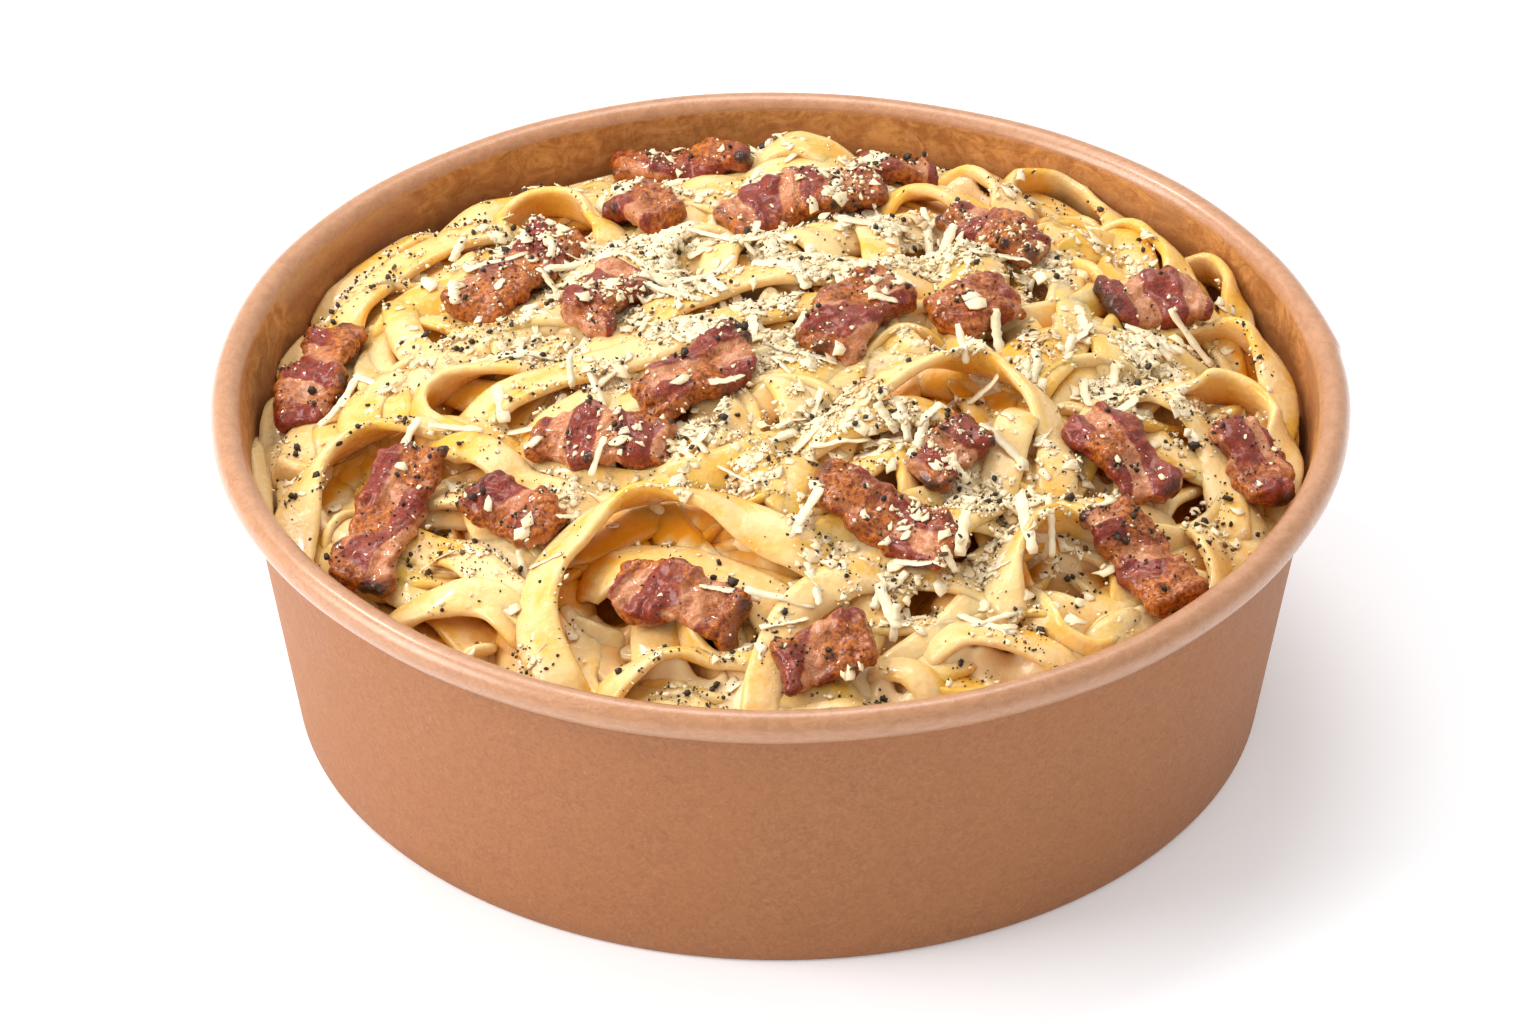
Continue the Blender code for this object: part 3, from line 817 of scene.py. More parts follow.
class Noodle:
    """One ribbon on its route: its roll, its height once laid and its mesh."""

    def __init__(self, route, half_width, lean, rng, half_thickness=NOODLE_HALF_THICKNESS):
        self.route = route
        count = len(route)
        steps = np.arange(count)
        ahead = np.gradient(route[:, :2], axis=0)
        spacing = np.hypot(*ahead.T)
        ahead /= spacing[:, None]
        self.left = np.stack([-ahead[:, 1], ahead[:, 0]], axis=1)
        heading = np.unwrap(np.arctan2(ahead[:, 1], ahead[:, 0]))
        bend = smooth_line(np.gradient(heading) / spacing, 2.5)
        phase = rng.uniform(0, 100)
        line = np.stack([steps * STEP, np.full(count, phase), np.zeros(count)], axis=1)
        swing = 0.16 * bumps(line, 0.022)
        tilt = smooth_line(bend * ROLL_FOR_BEND * ROLL_GAIN * lean, 3.0)
        self.roll = np.clip(tilt, -MOST_ROLL, MOST_ROLL) + swing
        self.half_width = half_width * (1 + 0.07 * bumps(line, 0.011, 3.1))
        self.half_thickness = half_thickness * (1 + 0.10 * bumps(line, 0.009, 5.7))
        self.cup = 0.9 * bumps(line, 0.016, 9.3)
        self.tone = rng.random()
        self.z = np.zeros(count)

    def spots(self, part, shares):
        """Plan positions across the ribbon, and how far its faces lie above and below its middle there."""
        roll, width, thick = self.roll[part], self.half_width[part], self.half_thickness[part]
        reach = width * np.abs(np.cos(roll)) + thick * np.abs(np.sin(roll))
        offset = shares[:, None] * reach
        x = self.route[part, 0] + self.left[part, 0] * offset
        y = self.route[part, 1] + self.left[part, 1] * offset
        tilt = shares[:, None] * width * np.sin(roll)
        half = thick * np.cos(roll) * (1 - 0.45 * shares[:, None] ** 4) + 0.2 * MM * np.abs(np.sin(roll))
        return x, y, tilt + half, tilt - half

    def lay(self, relief, bed, ceiling, cap, sink, stiffness):
        """Rests the ribbon on the relief, stiffly, under the ceiling and the cap, and adds it to the relief.

        The bed holds only what lies on something, so that no sauce hangs under a noodle that bridges a gap.
        """
        count = len(self.route)
        shares = np.linspace(-0.9, 0.9, 7)
        raw = np.zeros(count)
        level = relief.z.copy()
        own = Relief(-1.0)
        for start in range(0, count, CHUNK):
            if start >= 2 * CHUNK:
                part = slice(start - 2 * CHUNK, start - CHUNK)
                x, y, over, _ = self.spots(part, shares)
                own.raise_to(x, y, raw[part] + over)
            part = slice(start, start + CHUNK)
            x, y, _, under = self.spots(part, shares)
            cells = relief.cells(x, y)
            need = np.maximum(level[cells], own.z[cells]) - under
            need.sort(axis=0)
            raw[part] = 0.6 * need[-1] + 0.4 * need[-2]
        raw -= sink
        z = raw.copy()
        for _ in range(6):
            z = smooth_line(z, stiffness)
            z = np.maximum(z, raw - 0.35 * MM)
        lift = self.route[:, 2] * MM
        z = smooth_line(z, 2.0) + 0.6 * lift
        x, y, over, _ = self.spots(slice(0, count), shares)
        cells = relief.cells(x, y)
        limit = np.minimum(ceiling[cells] - over, cap[cells] + lift - over).min(axis=0)
        for _ in range(3):
            z = np.minimum(smooth_line(np.minimum(z, limit), 1.5), limit + 0.3 * MM)
        ends = np.minimum(np.arange(count), np.arange(count)[::-1]) * STEP
        z -= END_DIP * np.clip(1 - ends / END_LENGTH, 0, 1) ** 1.5
        self.z = z
        fine = np.linspace(-1, 1, 15)
        x, y, over, under = self.spots(slice(0, count), fine)
        tops, lows = z + over, z + under
        held = lows - bed.read(x, y) < GAP_FILLED
        for near, far in ((slice(None), slice(None)), (slice(1, None), slice(0, -1))):
            spot_x, spot_y = (x[:, near] + x[:, far]) / 2, (y[:, near] + y[:, far]) / 2
            height = (tops[:, near] + tops[:, far]) / 2
            relief.raise_to(spot_x, spot_y, height)
            bed.raise_to(spot_x, spot_y, np.where(held[:, near] & held[:, far], height, -1.0))
        return self

    def mesh(self, heap, sides, every, top):
        """Adds the ribbon's tube to a heap. top is the relief once all is laid, for how deep it lies and so
        its painted shade.
        """
        pick = np.unique(np.append(np.arange(0, len(self.route), every), len(self.route) - 1))
        centre = np.column_stack([self.route[:, :2], self.z])
        ahead = np.gradient(centre, axis=0)
        ahead /= np.linalg.norm(ahead, axis=1)[:, None]
        left = np.column_stack([self.left, np.zeros(len(centre))])
        up = np.cross(ahead, left)
        cos, sin = np.cos(self.roll)[:, None], np.sin(self.roll)[:, None]
        across, normal = cos * left + sin * up, cos * up - sin * left
        turn = np.arange(sides) * 2 * math.pi / sides
        share = np.sign(np.cos(turn)) * np.abs(np.cos(turn)) ** 0.62
        rise = np.sign(np.sin(turn)) * np.abs(np.sin(turn)) ** 0.80
        taper = np.clip(np.minimum(np.arange(len(pick)), np.arange(len(pick))[::-1]) / 2.0, 0.35, 1.0)
        width = (self.half_width[pick] * taper)[:, None]
        thick = (self.half_thickness[pick] * taper ** 0.5)[:, None]
        bow = self.cup[pick][:, None] * thick * (share**2 - 0.45)
        rings = (centre[pick][:, None] + across[pick][:, None] * (width * share)[..., None]
                 + normal[pick][:, None] * (thick * rise + bow)[..., None])
        flat = rings.reshape(-1, 3)
        swell = 0.16 * bumps(flat, 3.4 * MM) + 0.09 * bumps(flat, 1.3 * MM, 4.0)
        sideways = across[pick][:, None] * (0.5 * share)[None, :, None]
        out = normal[pick][:, None] * rise[None, :, None] + sideways
        flat = flat + out.reshape(-1, 3) * swell[:, None] * MM
        keep_inside(flat)
        along = np.broadcast_to((pick * STEP)[:, None], rings.shape[:2]).ravel()
        over = np.tile(share, len(pick)) * 2.2 * MM
        streak = np.stack([along / 7, over, np.full(len(flat), self.tone)], axis=1)
        coat = 0.5 + 0.40 * bumps(flat, 9 * MM, 2.0) + 0.45 * bumps(streak, 1.0 * MM, 6.0)
        # Depth below the heap's top, for the painted shade in the creases; the cheese dust thins out there
        # too.
        below = top.read(flat[:, 0], flat[:, 1]) - flat[:, 2]
        depth = np.clip((below - 0.8 * MM) / (5 * MM), 0, 1)
        tone = np.full(len(flat), self.tone)
        tints = np.stack([coat, depth, tone, dusting(flat) * (1 - depth)], axis=1)
        heap.add_tube(flat.reshape(rings.shape), tints.reshape(*rings.shape[:2], 4))


def keep_inside(points):
    """Presses points that would pass through the bowl's wall against its inner face."""
    limit = wall_radius(np.minimum(points[:, 2], BOWL_HEIGHT)) - BOARD / 2 - WALL_GAP
    radius = np.hypot(points[:, 0], points[:, 1])
    shrink = np.minimum(1.0, limit / np.maximum(radius, 1e-6))
    points[:, :2] *= shrink[:, None]


def lay_fillers(relief, bed, ceiling, target, rng, number, sink, stiffness, tries=7):
    """Lays curly noodles where the heap is still low, each the best of a few tries."""
    laid = []
    for _ in range(number):
        best, best_score = None, -1e9
        for _ in range(tries):
            route = wander(rng, WANDER_REACH)
            cells = relief.cells(route[:, 0], route[:, 1])
            short = np.clip(target[cells] - relief.z[cells], -3 * MM, 5 * MM)
            score = short.mean() + 0.4 * short.min()
            if score > best_score:
                best, best_score = route, score
        lean = rng.choice((0.35, 0.6, 0.9, 1.1, -0.6))
        noodle = Noodle(best, rng.uniform(2.45, 3.4) * MM, lean, rng)
        laid.append(noodle.lay(relief, bed, ceiling, target + FILLER_ABOVE_TOP, sink, stiffness))
    return laid


def make_noodles(relief, bed, ceiling):
    """Deep noodles, then curly ones up to the heap's shape, then the loops that show."""
    rng = random.Random(SEED)
    hollow = hollow_depth(relief)
    target = heap_top(relief.x, relief.y) + TOP_ABOVE_MOUND - hollow
    loops = []
    for route, half_width, lean in LOOPS:
        path = curve_through(np.array(route) * (MM, MM, 1), STEP)
        loops.append(Noodle(path, LOOP_NARROWING * half_width * MM, lean, rng, LOOP_HALF_THICKNESS))
    room = np.zeros_like(target)
    for loop in loops:
        x, y, over, under = loop.spots(slice(0, len(loop.route)), np.linspace(-1.2, 1.2, 13))
        cells = relief.cells(x, y)
        np.maximum.at(room, cells, np.broadcast_to(2.0 * MM + 0.35 * (over - under).max(axis=0), x.shape))
    low = target - DEEP_BELOW_TOP
    deep = lay_fillers(relief, bed, ceiling, low, rng, DEEP_NOODLES, sink=0.5 * MM, stiffness=3.0)
    low = target - room
    upper = lay_fillers(relief, bed, ceiling, low, rng, UPPER_NOODLES, sink=0.35 * MM, stiffness=3.5)
    cap = heap_top(relief.x, relief.y) + LOOP_ABOVE_MOUND
    for loop in loops:
        loop.lay(relief, bed, ceiling, cap, sink=0.4 * MM, stiffness=4.0)
    return deep, upper, loops


# ---------------------------------------------------------------- sauce

CREASE_REACH = 3.0  # in cells of the relief grid
CREASE_DEPTH = 2.4 * MM
POOL_REACH = 7.0
POOL_DEPTH = 3.0 * MM
POOL_SINK = 0.9 * MM
FILM_SINK = 0.34 * MM


def make_core(relief, bed, material):
    """The smaller core: a solid of buried pasta and sauce, whose top is the sauce between the noodles."""
    top = bed.z
    creases = spread(spread(top, CREASE_REACH, np.maximum), CREASE_REACH, np.minimum)
    pools = blur(spread(spread(top, POOL_REACH, np.maximum), POOL_REACH, np.minimum), 2.0) - POOL_SINK
    spots = np.stack([relief.x.ravel(), relief.y.ravel(), np.zeros(top.size)], axis=1)
    pooled = np.clip(2.5 * bumps(spots, 13 * MM, 1.7) + 0.5, 0, 1).reshape(top.shape)
    pooled = np.maximum(pooled, np.clip(hollow_depth(relief) / (2 * MM), 0, 1))
    film = top + np.minimum(creases - top, CREASE_DEPTH) - FILM_SINK
    film = film + pooled * np.clip(pools - film, 0, POOL_DEPTH)
    film = blur(film, 1.1)
    kept = np.hypot(relief.x, relief.y) < wall_radius(BOWL_HEIGHT) + GRID_CELL
    number = np.full(top.shape, -1)
    number[kept] = np.arange(kept.sum())
    points = np.stack([relief.x[kept], relief.y[kept], film[kept]], axis=1)
    keep_inside(points)
    quads = number.ravel()[grid_faces(*top.shape, open_rows=True, open_columns=True)]
    quads = quads[(quads >= 0).all(axis=1)]
    used = np.unique(quads)
    place = np.full(len(points), -1)
    place[used] = np.arange(len(used))
    points, quads = points[used], place[quads]
    sheet = bmesh.new()
    verts = [sheet.verts.new(point) for point in points]
    for quad in quads:
        sheet.faces.new([verts[corner] for corner in quad])
    rim = [edge for edge in sheet.edges if edge.is_boundary]
    skirt = bmesh.ops.extrude_edge_only(sheet, edges=rim)["geom"]
    floor_z = BASE_LIFT + BOARD / 2 + 0.1 * MM
    foot = wall_radius(floor_z) - BOARD / 2 - 0.15 * MM
    for item in skirt:
        if isinstance(item, bmesh.types.BMVert):
            scale = foot / math.hypot(item.co.x, item.co.y)
            item.co = (item.co.x * scale, item.co.y * scale, floor_z)
    edges = [item for item in skirt if isinstance(item, bmesh.types.BMEdge) and item.is_boundary]
    bmesh.ops.edgeloop_fill(sheet, edges=edges)
    bmesh.ops.recalc_face_normals(sheet, faces=sheet.faces)
    sheet.verts.index_update()
    places = np.array([vert.co for vert in sheet.verts])
    faces = [[vert.index for vert in face.verts] for face in sheet.faces]
    sheet.free()
    sides = [face for face in faces if len(face) == 4]
    bottom = [face for face in faces if len(face) > 4]
    shade = np.clip((heap_top(places[:, 0], places[:, 1]) - 1.2 * MM - places[:, 2]) / (5 * MM), 0, 1)
    tints = np.stack([shade * 0, shade, shade * 0, dusting(places) * (1 - shade)], axis=1)
    core = make_piece("cream_sauce_core", places, [sides, bottom], material, tints)
    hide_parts("pasta")
    relief.z = np.maximum(relief.z, film)


# ---------------------------------------------------------------- bacon

BACON_CELL = 0.38 * MM


def remeshed(node):
    """Points, normals and quads of a CAD node's shape, as an even fine mesh."""
    shape = bpy.data.objects.new("shape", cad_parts[node].data.copy())
    bpy.context.scene.collection.objects.link(shape)
    weld = shape.modifiers.new("weld", "WELD")
    weld.merge_threshold = 0.00001
    soft = shape.modifiers.new("soft", "SUBSURF")
    soft.levels = 2
    even = shape.modifiers.new("even", "REMESH")
    even.mode = "VOXEL"
    even.voxel_size = BACON_CELL
    mesh = bpy.data.meshes.new_from_object(shape.evaluated_get(bpy.context.evaluated_depsgraph_get()))
    points = np.array([vert.co for vert in mesh.vertices])
    normals = np.array([vert.normal for vert in mesh.vertices])
    faces = [tuple(face.vertices) for face in mesh.polygons]
    bpy.data.objects.remove(shape)
    bpy.data.meshes.remove(mesh)
    quads = [face for face in faces if len(face) == 4]
    triangles = [face for face in faces if len(face) == 3]
    return points, normals, quads, triangles


def make_bacon(node, material, relief):
    """One fried strip: its CAD shape with bands of meat and fat, ruffled edges, crisped and charred knobs."""
    rng = random.Random(node)
    points, normals, quads, triangles = remeshed(node)
    middle, axes, half = SLABS[node]
    local = (points - middle) @ axes.T
    along, across, up = local[:, 0] / half[0], local[:, 1] / half[1], local[:, 2] / half[2]
    shift = rng.uniform(0, 50)
    turn = math.radians(rng.choice((-25, -10, 5, 20, 70, 95)))
    period = rng.uniform(6.0, 8.5) * MM
    place = (local[:, 0] * math.cos(turn) + local[:, 1] * math.sin(turn)) / period
    place = place + 0.22 * bumps(local, 5 * MM, shift) + 0.08 * bumps(local, 1.8 * MM, shift)
    fat = 0.5 + 0.5 * np.sin(2 * math.pi * (place + rng.random()))
    fat = np.clip((fat - 0.42) * 2.2, 0, 1)
    edge = np.clip(np.maximum(np.abs(along), np.abs(across)) ** 5, 0, 1.3)
    rough = bumps(points, 2.6 * MM, shift)
    browning = rng.uniform(-0.10, 0.32)
    patches = bumps(points, 5 * MM, shift + 3)
    crisp = np.clip(0.40 * edge + patches + 0.12 * up + browning + 0.15 * fat, 0, 1)
    char = np.clip(1.15 * edge * (0.35 + rough) * np.clip(0.8 + up, 0, 1) - 0.08, 0, 1)
    side_on = 1 - np.abs(normals @ axes[2])
    rise = 0.36 * (0.5 - fat) + (0.38 + 0.50 * side_on) * rough + 0.32 * bumps(points, 1.2 * MM, shift)
    rise = (rise + 0.14 * np.sin(place * 19) + 0.16 * bumps(points, 0.7 * MM, shift)) * MM
    for _ in range(rng.randint(5, 9)):
        side = rng.choice((-1, 1))
        at_end = rng.random() < 0.4
        spot = (rng.choice((-0.93, 0.93)) if at_end else rng.uniform(-0.9, 0.9), side * 0.92, 0.55)
        away = np.linalg.norm(local - np.array(spot) * half, axis=1) / (rng.uniform(0.55, 1.0) * MM)
        knob = np.exp(-(away**2))
        rise += 0.60 * MM * knob
        char = np.maximum(char, np.clip(1.15 * knob * (0.8 + rough), 0, 1))
    points = points + normals * rise[:, None]
    tints = np.stack([fat, crisp, char], axis=1)
    name = node.replace("bacon", "bacon_strip")
    strip = make_piece(name, points, [quads, triangles], material, tints)
    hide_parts(node)
    relief.raise_to(points[:, 0], points[:, 1], points[:, 2])


# ---------------------------------------------------------------- cheese and pepper

def density_of(spots, heaps, rest):
    """How thickly something is strewn at each spot: its heaps, broken up, and a thin rest everywhere."""
    thick = np.full(len(spots), rest)
    for x, y, radius, dense in heaps:
        away = np.hypot(spots[:, 0] - x * MM, spots[:, 1] - y * MM) / (radius * MM)
        thick = np.maximum(thick, dense * np.exp(-(away**2)))
    flat = np.column_stack([spots[:, :2], np.zeros(len(spots))])
    patch = 0.4 + 1.5 * bumps(flat, 6.5 * MM, 11.0) + 0.9 * bumps(flat, 2.4 * MM, 12.0)
    return thick * np.clip(patch, 0.04, 1.5)


def strew(draw, number, heaps, rest, reach, covered=None):
    """Random plan positions, as thick as density_of says, and few of them where it is covered."""
    found = []
    while sum(len(part) for part in found) < number:
        angle = draw.uniform(0, 2 * math.pi, STREWN_AT_ONCE)
        away = reach * np.sqrt(draw.random(STREWN_AT_ONCE))
        spots = np.stack([away * np.cos(angle), away * np.sin(angle)], axis=1)
        dense = density_of(spots, heaps, rest)
        if covered:
            dense *= 1 - 0.75 * covered.read(spots[:, 0], spots[:, 1])
        found.append(spots[dense > draw.random(STREWN_AT_ONCE) * 1.3])
    return np.concatenate(found)[:number]


def lay_shreds(relief, spots, draw, lengths):
    """Rings of many shreds at once, each a bent flat strip that rests on the relief."""
    count = len(spots)
    length, width, thick = (draw.uniform(*span, count) for span in (lengths, SHRED_WIDTH, SHRED_THICKNESS))
    heading = draw.uniform(0, 2 * math.pi, count)
    bend = draw.normal(0, SHRED_CURL, count)
    share = np.linspace(-0.5, 0.5, SHRED_STEPS)
    angle = heading[:, None] + bend[:, None] * share
    pace = length[:, None] / (SHRED_STEPS - 1)
    x = np.cumsum(np.cos(angle), axis=1) * pace
    y = np.cumsum(np.sin(angle), axis=1) * pace
    x += (spots[:, 0] - x.mean(axis=1))[:, None]
    y += (spots[:, 1] - y.mean(axis=1))[:, None]
    ground = relief.read(x, y)
    fall = np.clip((ground[:, -1] - ground[:, 0]) / length, -SHRED_STEEPEST, SHRED_STEEPEST)
    sloped = fall[:, None] * share * length[:, None]
    straight = np.quantile(ground - sloped, SHRED_PERCH, axis=1)[:, None] + sloped
    lowest = straight - 0.10 * length[:, None] * (1 - SHRED_PERCH)
    z = np.clip(ground, lowest, straight + 0.14 * length[:, None])
    for _ in range(2):
        z[:, 1:-1] = (z[:, :-2] + z[:, 1:-1] * 2 + z[:, 2:]) / 4
    lean = np.clip(draw.normal(0, SHRED_TILT, count), -0.7, 0.7)
    z += (np.abs(lean) * 0.30)[:, None] * length[:, None] + lean[:, None] * share * length[:, None]
    z += thick[:, None] * 0.4
    centre = np.stack([x, y, z], axis=-1)
    ahead = np.gradient(centre, axis=1)
    ahead /= np.linalg.norm(ahead, axis=2, keepdims=True)
    left = np.stack([-ahead[..., 1], ahead[..., 0], np.zeros_like(x)], axis=-1)
    left /= np.linalg.norm(left, axis=2, keepdims=True)
    up = np.cross(ahead, left)
    roll = draw.normal(0, SHRED_TWIST, count)[:, None]
    roll = roll + draw.normal(0, 1.6 * SHRED_TWIST, count)[:, None] * share
    across = np.cos(roll)[..., None] * left + np.sin(roll)[..., None] * up
    normal = np.cross(ahead, across)
    ragged = 1 + 0.20 * draw.uniform(-1, 1, x.shape)
    ragged[:, 0] *= 0.8
    ragged[:, -1] *= 0.75
    half_width = (width[:, None] / 2 * ragged)[..., None]
    half_thick = (thick[:, None] / 2 * (1 + 0.2 * draw.uniform(-1, 1, x.shape)))[..., None]
    corners = ((1, 0.7), (-0.9, 1), (-1, -0.8), (0.9, -1))
    rings = np.stack([centre + across * half_width * a + normal * half_thick * b for a, b in corners], axis=2)
    relief.raise_to(x, y, np.minimum(z, ground + 0.3 * MM))
    return rings


def add_shreds(heap, rings, tints):
    """Adds many shreds to a heap: rings is (shred, step, corner, 3) and tints one row for each shred."""
    count, steps, corners = rings.shape[:3]
    size = steps * corners
    one = np.concatenate([tube_faces(steps, corners), [[3, 2, 1, 0]],
                          [[size - 4, size - 3, size - 2, size - 1]]])
    quads = (one[None] + np.arange(count)[:, None, None] * size).reshape(-1, 4)
    heap.add(rings.reshape(-1, 3), np.repeat(tints, size, axis=0), quads)


def add_flakes(heap, relief, spots, draw, tints):
    """Adds many thin ragged flakes to a heap, each draped over the relief with its edge a little lifted."""
    count, corners = len(spots), FLAKE_CORNERS
    angle = np.arange(corners) * 2 * math.pi / corners + draw.uniform(-0.25, 0.25, (count, corners))
    reach = (0.32 + 0.70 * draw.random(count) ** 2.4)[:, None] * MM
    reach = reach * draw.uniform(0.40, 1.25, (count, corners))
    turn = draw.uniform(0, math.pi, count)[:, None]
    long, short = reach * np.cos(angle) * draw.uniform(1.0, 1.7, count)[:, None], reach * np.sin(angle)
    x = spots[:, :1] + long * np.cos(turn) - short * np.sin(turn)
    y = spots[:, 1:] + long * np.sin(turn) + short * np.cos(turn)
    x, y = np.concatenate([spots[:, :1], x], axis=1), np.concatenate([spots[:, 1:], y], axis=1)
    away = np.concatenate([np.zeros((count, 1)), reach], axis=1)
    middle = relief.read(spots[:, 0], spots[:, 1])[:, None]
    z = np.clip(relief.read(x, y), middle - 0.8 * away, middle + 0.6 * away)
    z += 0.10 * MM + draw.uniform(0.0, 0.35, x.shape) * away
    thick = draw.uniform(0.06, 0.14, (count, 1)) * MM
    top = np.stack([x, y, z + thick], axis=-1)
    under = np.stack([x, y, z - thick], axis=-1)
    around = np.arange(1, corners + 1)
    after = np.roll(around, -1)
    lower = corners + 1
    fan = np.stack([np.zeros(corners, int), around, after], axis=1)
    back = np.stack([np.full(corners, lower), lower + after, lower + around], axis=1)
    side = np.stack([lower + around, lower + after, after, around], axis=1)
    size = 2 * lower
    first = np.arange(count)[:, None, None] * size
    triangles = (np.concatenate([fan, back])[None] + first).reshape(-1, 3)
    heap.add(np.concatenate([top, under], axis=1).reshape(-1, 3), np.repeat(tints, size, axis=0),
             (side[None] + first).reshape(-1, 4), triangles)
    relief.raise_to(spots[:, 0], spots[:, 1], middle[:, 0] + 0.12 * MM)


def icosahedron():
    """Corners at a distance of one, and triangles that face outwards."""
    gold = (1 + math.sqrt(5)) / 2
    points = []
    for a in (-1, 1):
        for b in (-gold, gold):
            points += [(0, a, b), (a, b, 0), (b, 0, a)]
    points = np.array(points) / math.hypot(1, gold)
    near = np.linalg.norm(points[:, None] - points[None], axis=2) < 1.1
    faces = []
    for i in range(12):
        for j in range(i + 1, 12):
            for k in range(j + 1, 12):
                if near[i, j] and near[j, k] and near[i, k]:
                    out = np.dot(np.cross(points[j] - points[i], points[k] - points[i]), points[i])
                    faces.append((i, j, k) if out > 0 else (i, k, j))
    return points, np.array(faces)


def octahedron():
    """Corners at a distance of one, and triangles that face outwards."""
    points = np.array([(1, 0, 0), (0, 1, 0), (-1, 0, 0), (0, -1, 0), (0, 0, 1), (0, 0, -1)], float)
    upper = [(corner, (corner + 1) % 4, 4) for corner in range(4)]
    lower = [((corner + 1) % 4, corner, 5) for corner in range(4)]
    return points, np.array(upper + lower)


def add_crumbs(heap, relief, spots, draw, size, flatness, tints, solid, rough, sink):
    """Adds many angular crumbs to a heap, each turned at random and resting on the relief or partly sunk."""
    base, faces = solid
    count, corners = len(spots), len(base)
    shape = base[None] * (1 + rough * draw.uniform(-1, 1, (count, corners, 1)))
    squash = np.stack([np.ones(count), draw.uniform(0.55, 1.0, count), flatness], axis=1)
    shape = shape * squash[:, None]
    turns = draw.normal(size=(count, 4))
    turns /= np.linalg.norm(turns, axis=1)[:, None]
    w, x, y, z = turns.T
    spin = np.stack([1 - 2 * (y * y + z * z), 2 * (x * y - w * z), 2 * (x * z + w * y),
                     2 * (x * y + w * z), 1 - 2 * (x * x + z * z), 2 * (y * z - w * x),
                     2 * (x * z - w * y), 2 * (y * z + w * x), 1 - 2 * (x * x + y * y)], axis=1)
    spin = spin.reshape(-1, 3, 3)
    shape = np.einsum("nij,nkj->nki", spin, shape) * size[:, None, None] / 2
    height = relief.read(spots[:, 0], spots[:, 1]) + size * sink
    points = shape + np.stack([spots[:, 0], spots[:, 1], height], axis=1)[:, None]
    numbered = (faces[None] + np.arange(count)[:, None, None] * corners).reshape(-1, 3)
    heap.add(points.reshape(-1, 3), np.repeat(tints, corners, axis=0), triangles=numbered)


# Patches of browned cheese: x, y and radius in mm
TOAST = ((34, 5, 5), (10, -9, 6), (19, 36, 4), (-40, 32, 3), (-2, 30, 3))


def cheese_tints(spots, draw):
    """Toast and tone of each piece of cheese."""
    toast = np.zeros(len(spots))
    for x, y, radius in TOAST:
        away = np.hypot(spots[:, 0] - x * MM, spots[:, 1] - y * MM) / (radius * MM)
        toast = np.maximum(toast, np.exp(-(away**2)))
    toast = np.clip(toast * draw.uniform(0.2, 1.5, len(spots)) - 0.2, 0, 1)
    return np.stack([toast, draw.random(len(spots)) ** 2], axis=1)


def make_cheese(relief, covered, material):
    """Fluff of crumbs and flakes, piled in heaps, and flat shreds on top."""
    draw = np.random.default_rng(SEED + 1)
    crumbs, flakes, shreds = Heap(), Heap(), Heap()
    for _ in range(CHEESE_ROUNDS):
        spots = strew(draw, CRUMBS_A_ROUND, CHEESE_HEAPS, 0.07, TOPPING_REACH, covered)
        size = (0.28 + 0.75 * draw.random(len(spots)) ** 2.2) * MM
        flatness = draw.uniform(0.25, 0.7, len(spots))
        tints = cheese_tints(spots, draw)
        add_crumbs(crumbs, relief, spots, draw, size, flatness, tints, octahedron(), rough=0.42, sink=0.05)
        relief.raise_to(spots[:, 0], spots[:, 1], relief.read(spots[:, 0], spots[:, 1]) + 0.12 * MM)
        spots = strew(draw, FLAKES_A_ROUND, CHEESE_HEAPS, 0.06, FLAKE_REACH, covered)
        add_flakes(flakes, relief, spots, draw, cheese_tints(spots, draw))
    for number, lengths in ((130, (2.5 * MM, 5 * MM)), (60, (5 * MM, 9 * MM))):
        spots = strew(draw, number, CHEESE_HEAPS, 0.25, SHRED_REACH, covered)
        rings = lay_shreds(relief, spots, draw, lengths)
        add_shreds(shreds, rings, cheese_tints(spots, draw) * (0, 0.4))
    crumbs.make("grated_cheese_crumbs", material, "grated_cheese", smooth=False)
    flakes.make("grated_cheese_flakes", material, "grated_cheese", smooth=False)
    shreds.make("grated_cheese_shreds", material, "grated_cheese", smooth=False)


# Pepper lies thickest here: x, y and radius in mm, and how dense
PEPPER_HEAPS = ((0, 15, 45, 0.9), (30, -5, 25, 0.9), (20, 40, 25, 0.9), (-10, -35, 35, 0.6), (34, 4, 7, 1.3),
                (10, -10, 8, 1.3), (-30, 30, 25, 0.7))

# Dust, grit and corns: how many, the least and greatest size in mm, and how far the small ones prevail
PEPPER_SIZES = ((4800, 0.24, 0.62, 1.3), (700, 0.5, 1.10, 1.5), (34, 1.2, 1.8, 1.0))


def make_pepper(relief, material):
    """Cracked black pepper: many specks of dust and grit, and a few whole corns."""
    draw = np.random.default_rng(SEED + 2)
    pepper = Heap()
    for number, small, large, power in PEPPER_SIZES:
        spots = strew(draw, number, PEPPER_HEAPS, 0.80, TOPPING_REACH)
        size = (small + (large - small) * draw.random(number) ** power) * MM
        tints = np.stack([(draw.random(number) < 0.16) * draw.uniform(0.3, 0.9, number), draw.random(number),
                          np.zeros(number)], axis=1)
        solid = octahedron() if large < 1.0 else icosahedron()
        flatness = draw.uniform(0.45, 0.95, number)
        add_crumbs(pepper, relief, spots, draw, size, flatness, tints, solid, rough=0.30, sink=0.24)
    pepper.make("cracked_pepper", material, "black_pepper", smooth=False)


# ---------------------------------------------------------------- camera, lights and floor

CAMERA_ELEVATION = math.radians(34.4)
CAMERA_DISTANCE = 1.6
CAMERA_TARGET = Vector((-0.0014, 0.0, 0.0267))
CAMERA_LENS = 283.4


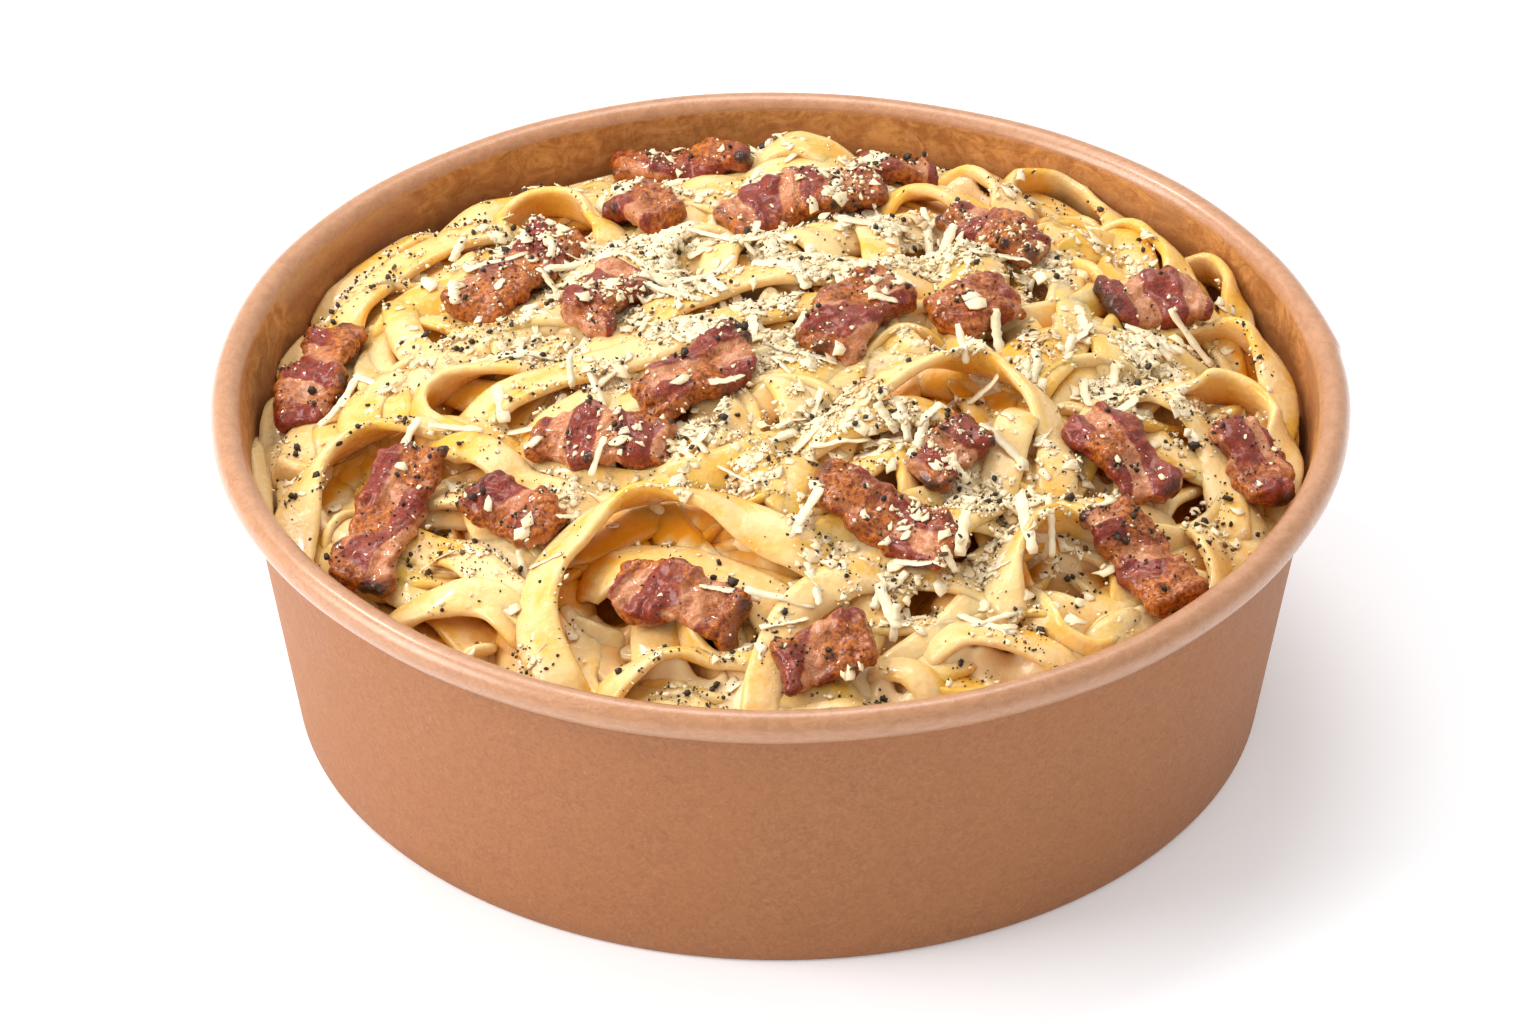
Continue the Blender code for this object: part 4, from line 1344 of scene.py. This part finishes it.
def make_camera():
    """The photo's view."""
    camera = bpy.data.objects.new("camera", bpy.data.cameras.new("camera"))
    bpy.context.scene.collection.objects.link(camera)
    back = Vector((0.0, -math.cos(CAMERA_ELEVATION), math.sin(CAMERA_ELEVATION)))
    camera.location = CAMERA_TARGET + back * CAMERA_DISTANCE
    camera.rotation_euler = back.to_track_quat("Z", "Y").to_euler()
    camera.data.sensor_width = 36.0
    camera.data.lens = CAMERA_LENS
    camera.data.clip_start = 0.05
    bpy.context.scene.camera = camera


def make_light(name, place, size, power, colour):
    """A round lamp that faces the food."""
    lamp = bpy.data.lights.new(name, "AREA")
    lamp.shape = "DISK"
    lamp.size = size
    lamp.energy = power
    lamp.color = colour
    light = bpy.data.objects.new(name, lamp)
    bpy.context.scene.collection.objects.link(light)
    light.location = place
    light.rotation_euler = (Vector(place) - Vector((0, 0, 0.03))).to_track_quat("Z", "Y").to_euler()


def make_studio():
    """Soft white light all round, three lamps and the floor."""
    scene = bpy.context.scene
    scene.view_settings.view_transform = "Standard"
    scene.view_settings.look = "None"
    world = bpy.data.worlds.new("studio")
    world.use_nodes = True
    backdrop = world.node_tree.nodes["Background"]
    backdrop.inputs["Color"].default_value = (1.0, 0.985, 0.97, 1.0)
    backdrop.inputs["Strength"].default_value = 0.79
    scene.world = world
    make_light("key", (-0.95, -0.20, 0.62), 0.70, 10.0, (1.0, 0.98, 0.95))
    make_light("top", (0.0, 0.45, 1.0), 0.55, 3.9, (1.0, 0.98, 0.96))
    make_light("spark", (-0.45, 0.35, 0.80), 0.06, 2.7, (1.0, 0.98, 0.96))
    bpy.ops.mesh.primitive_plane_add(size=8.0, location=(0, 0, -0.00005))
    floor = bpy.context.object
    floor.name = "floor"
    floor.data.materials.append(floor_material())


# ---------------------------------------------------------------- main

def main():
    make_camera()
    make_studio()
    kraft = kraft_material()
    make_wall(kraft)
    make_base(kraft)

    relief = Relief(lambda x, y: mound_height(x, y) - CORE_DEPTH)
    bed = Relief(lambda x, y: mound_height(x, y) - CORE_DEPTH)
    ceiling = bacon_ceiling(relief)
    noodle = noodle_material()
    deep, upper, loops = make_noodles(relief, bed, ceiling)
    for name, noodles, sides, every in (("noodles_deep", deep, 10, 2), ("noodles_upper", upper, 12, 1),
                                        ("noodles_loops", loops, 16, 1)):
        heap = Heap()
        for strand in noodles:
            strand.mesh(heap, sides, every, relief)
        heap.make(name, noodle, "pasta")
    make_core(relief, bed, sauce_material())
    before = relief.z.copy()
    bacon = bacon_material()
    for node in BACON:
        make_bacon(node, bacon, relief)
    covered = Relief(0.0)
    covered.z = np.where(relief.z > before, 1.0, 0.0)
    make_cheese(relief, covered, cheese_material())
    make_pepper(relief, pepper_material())


main()
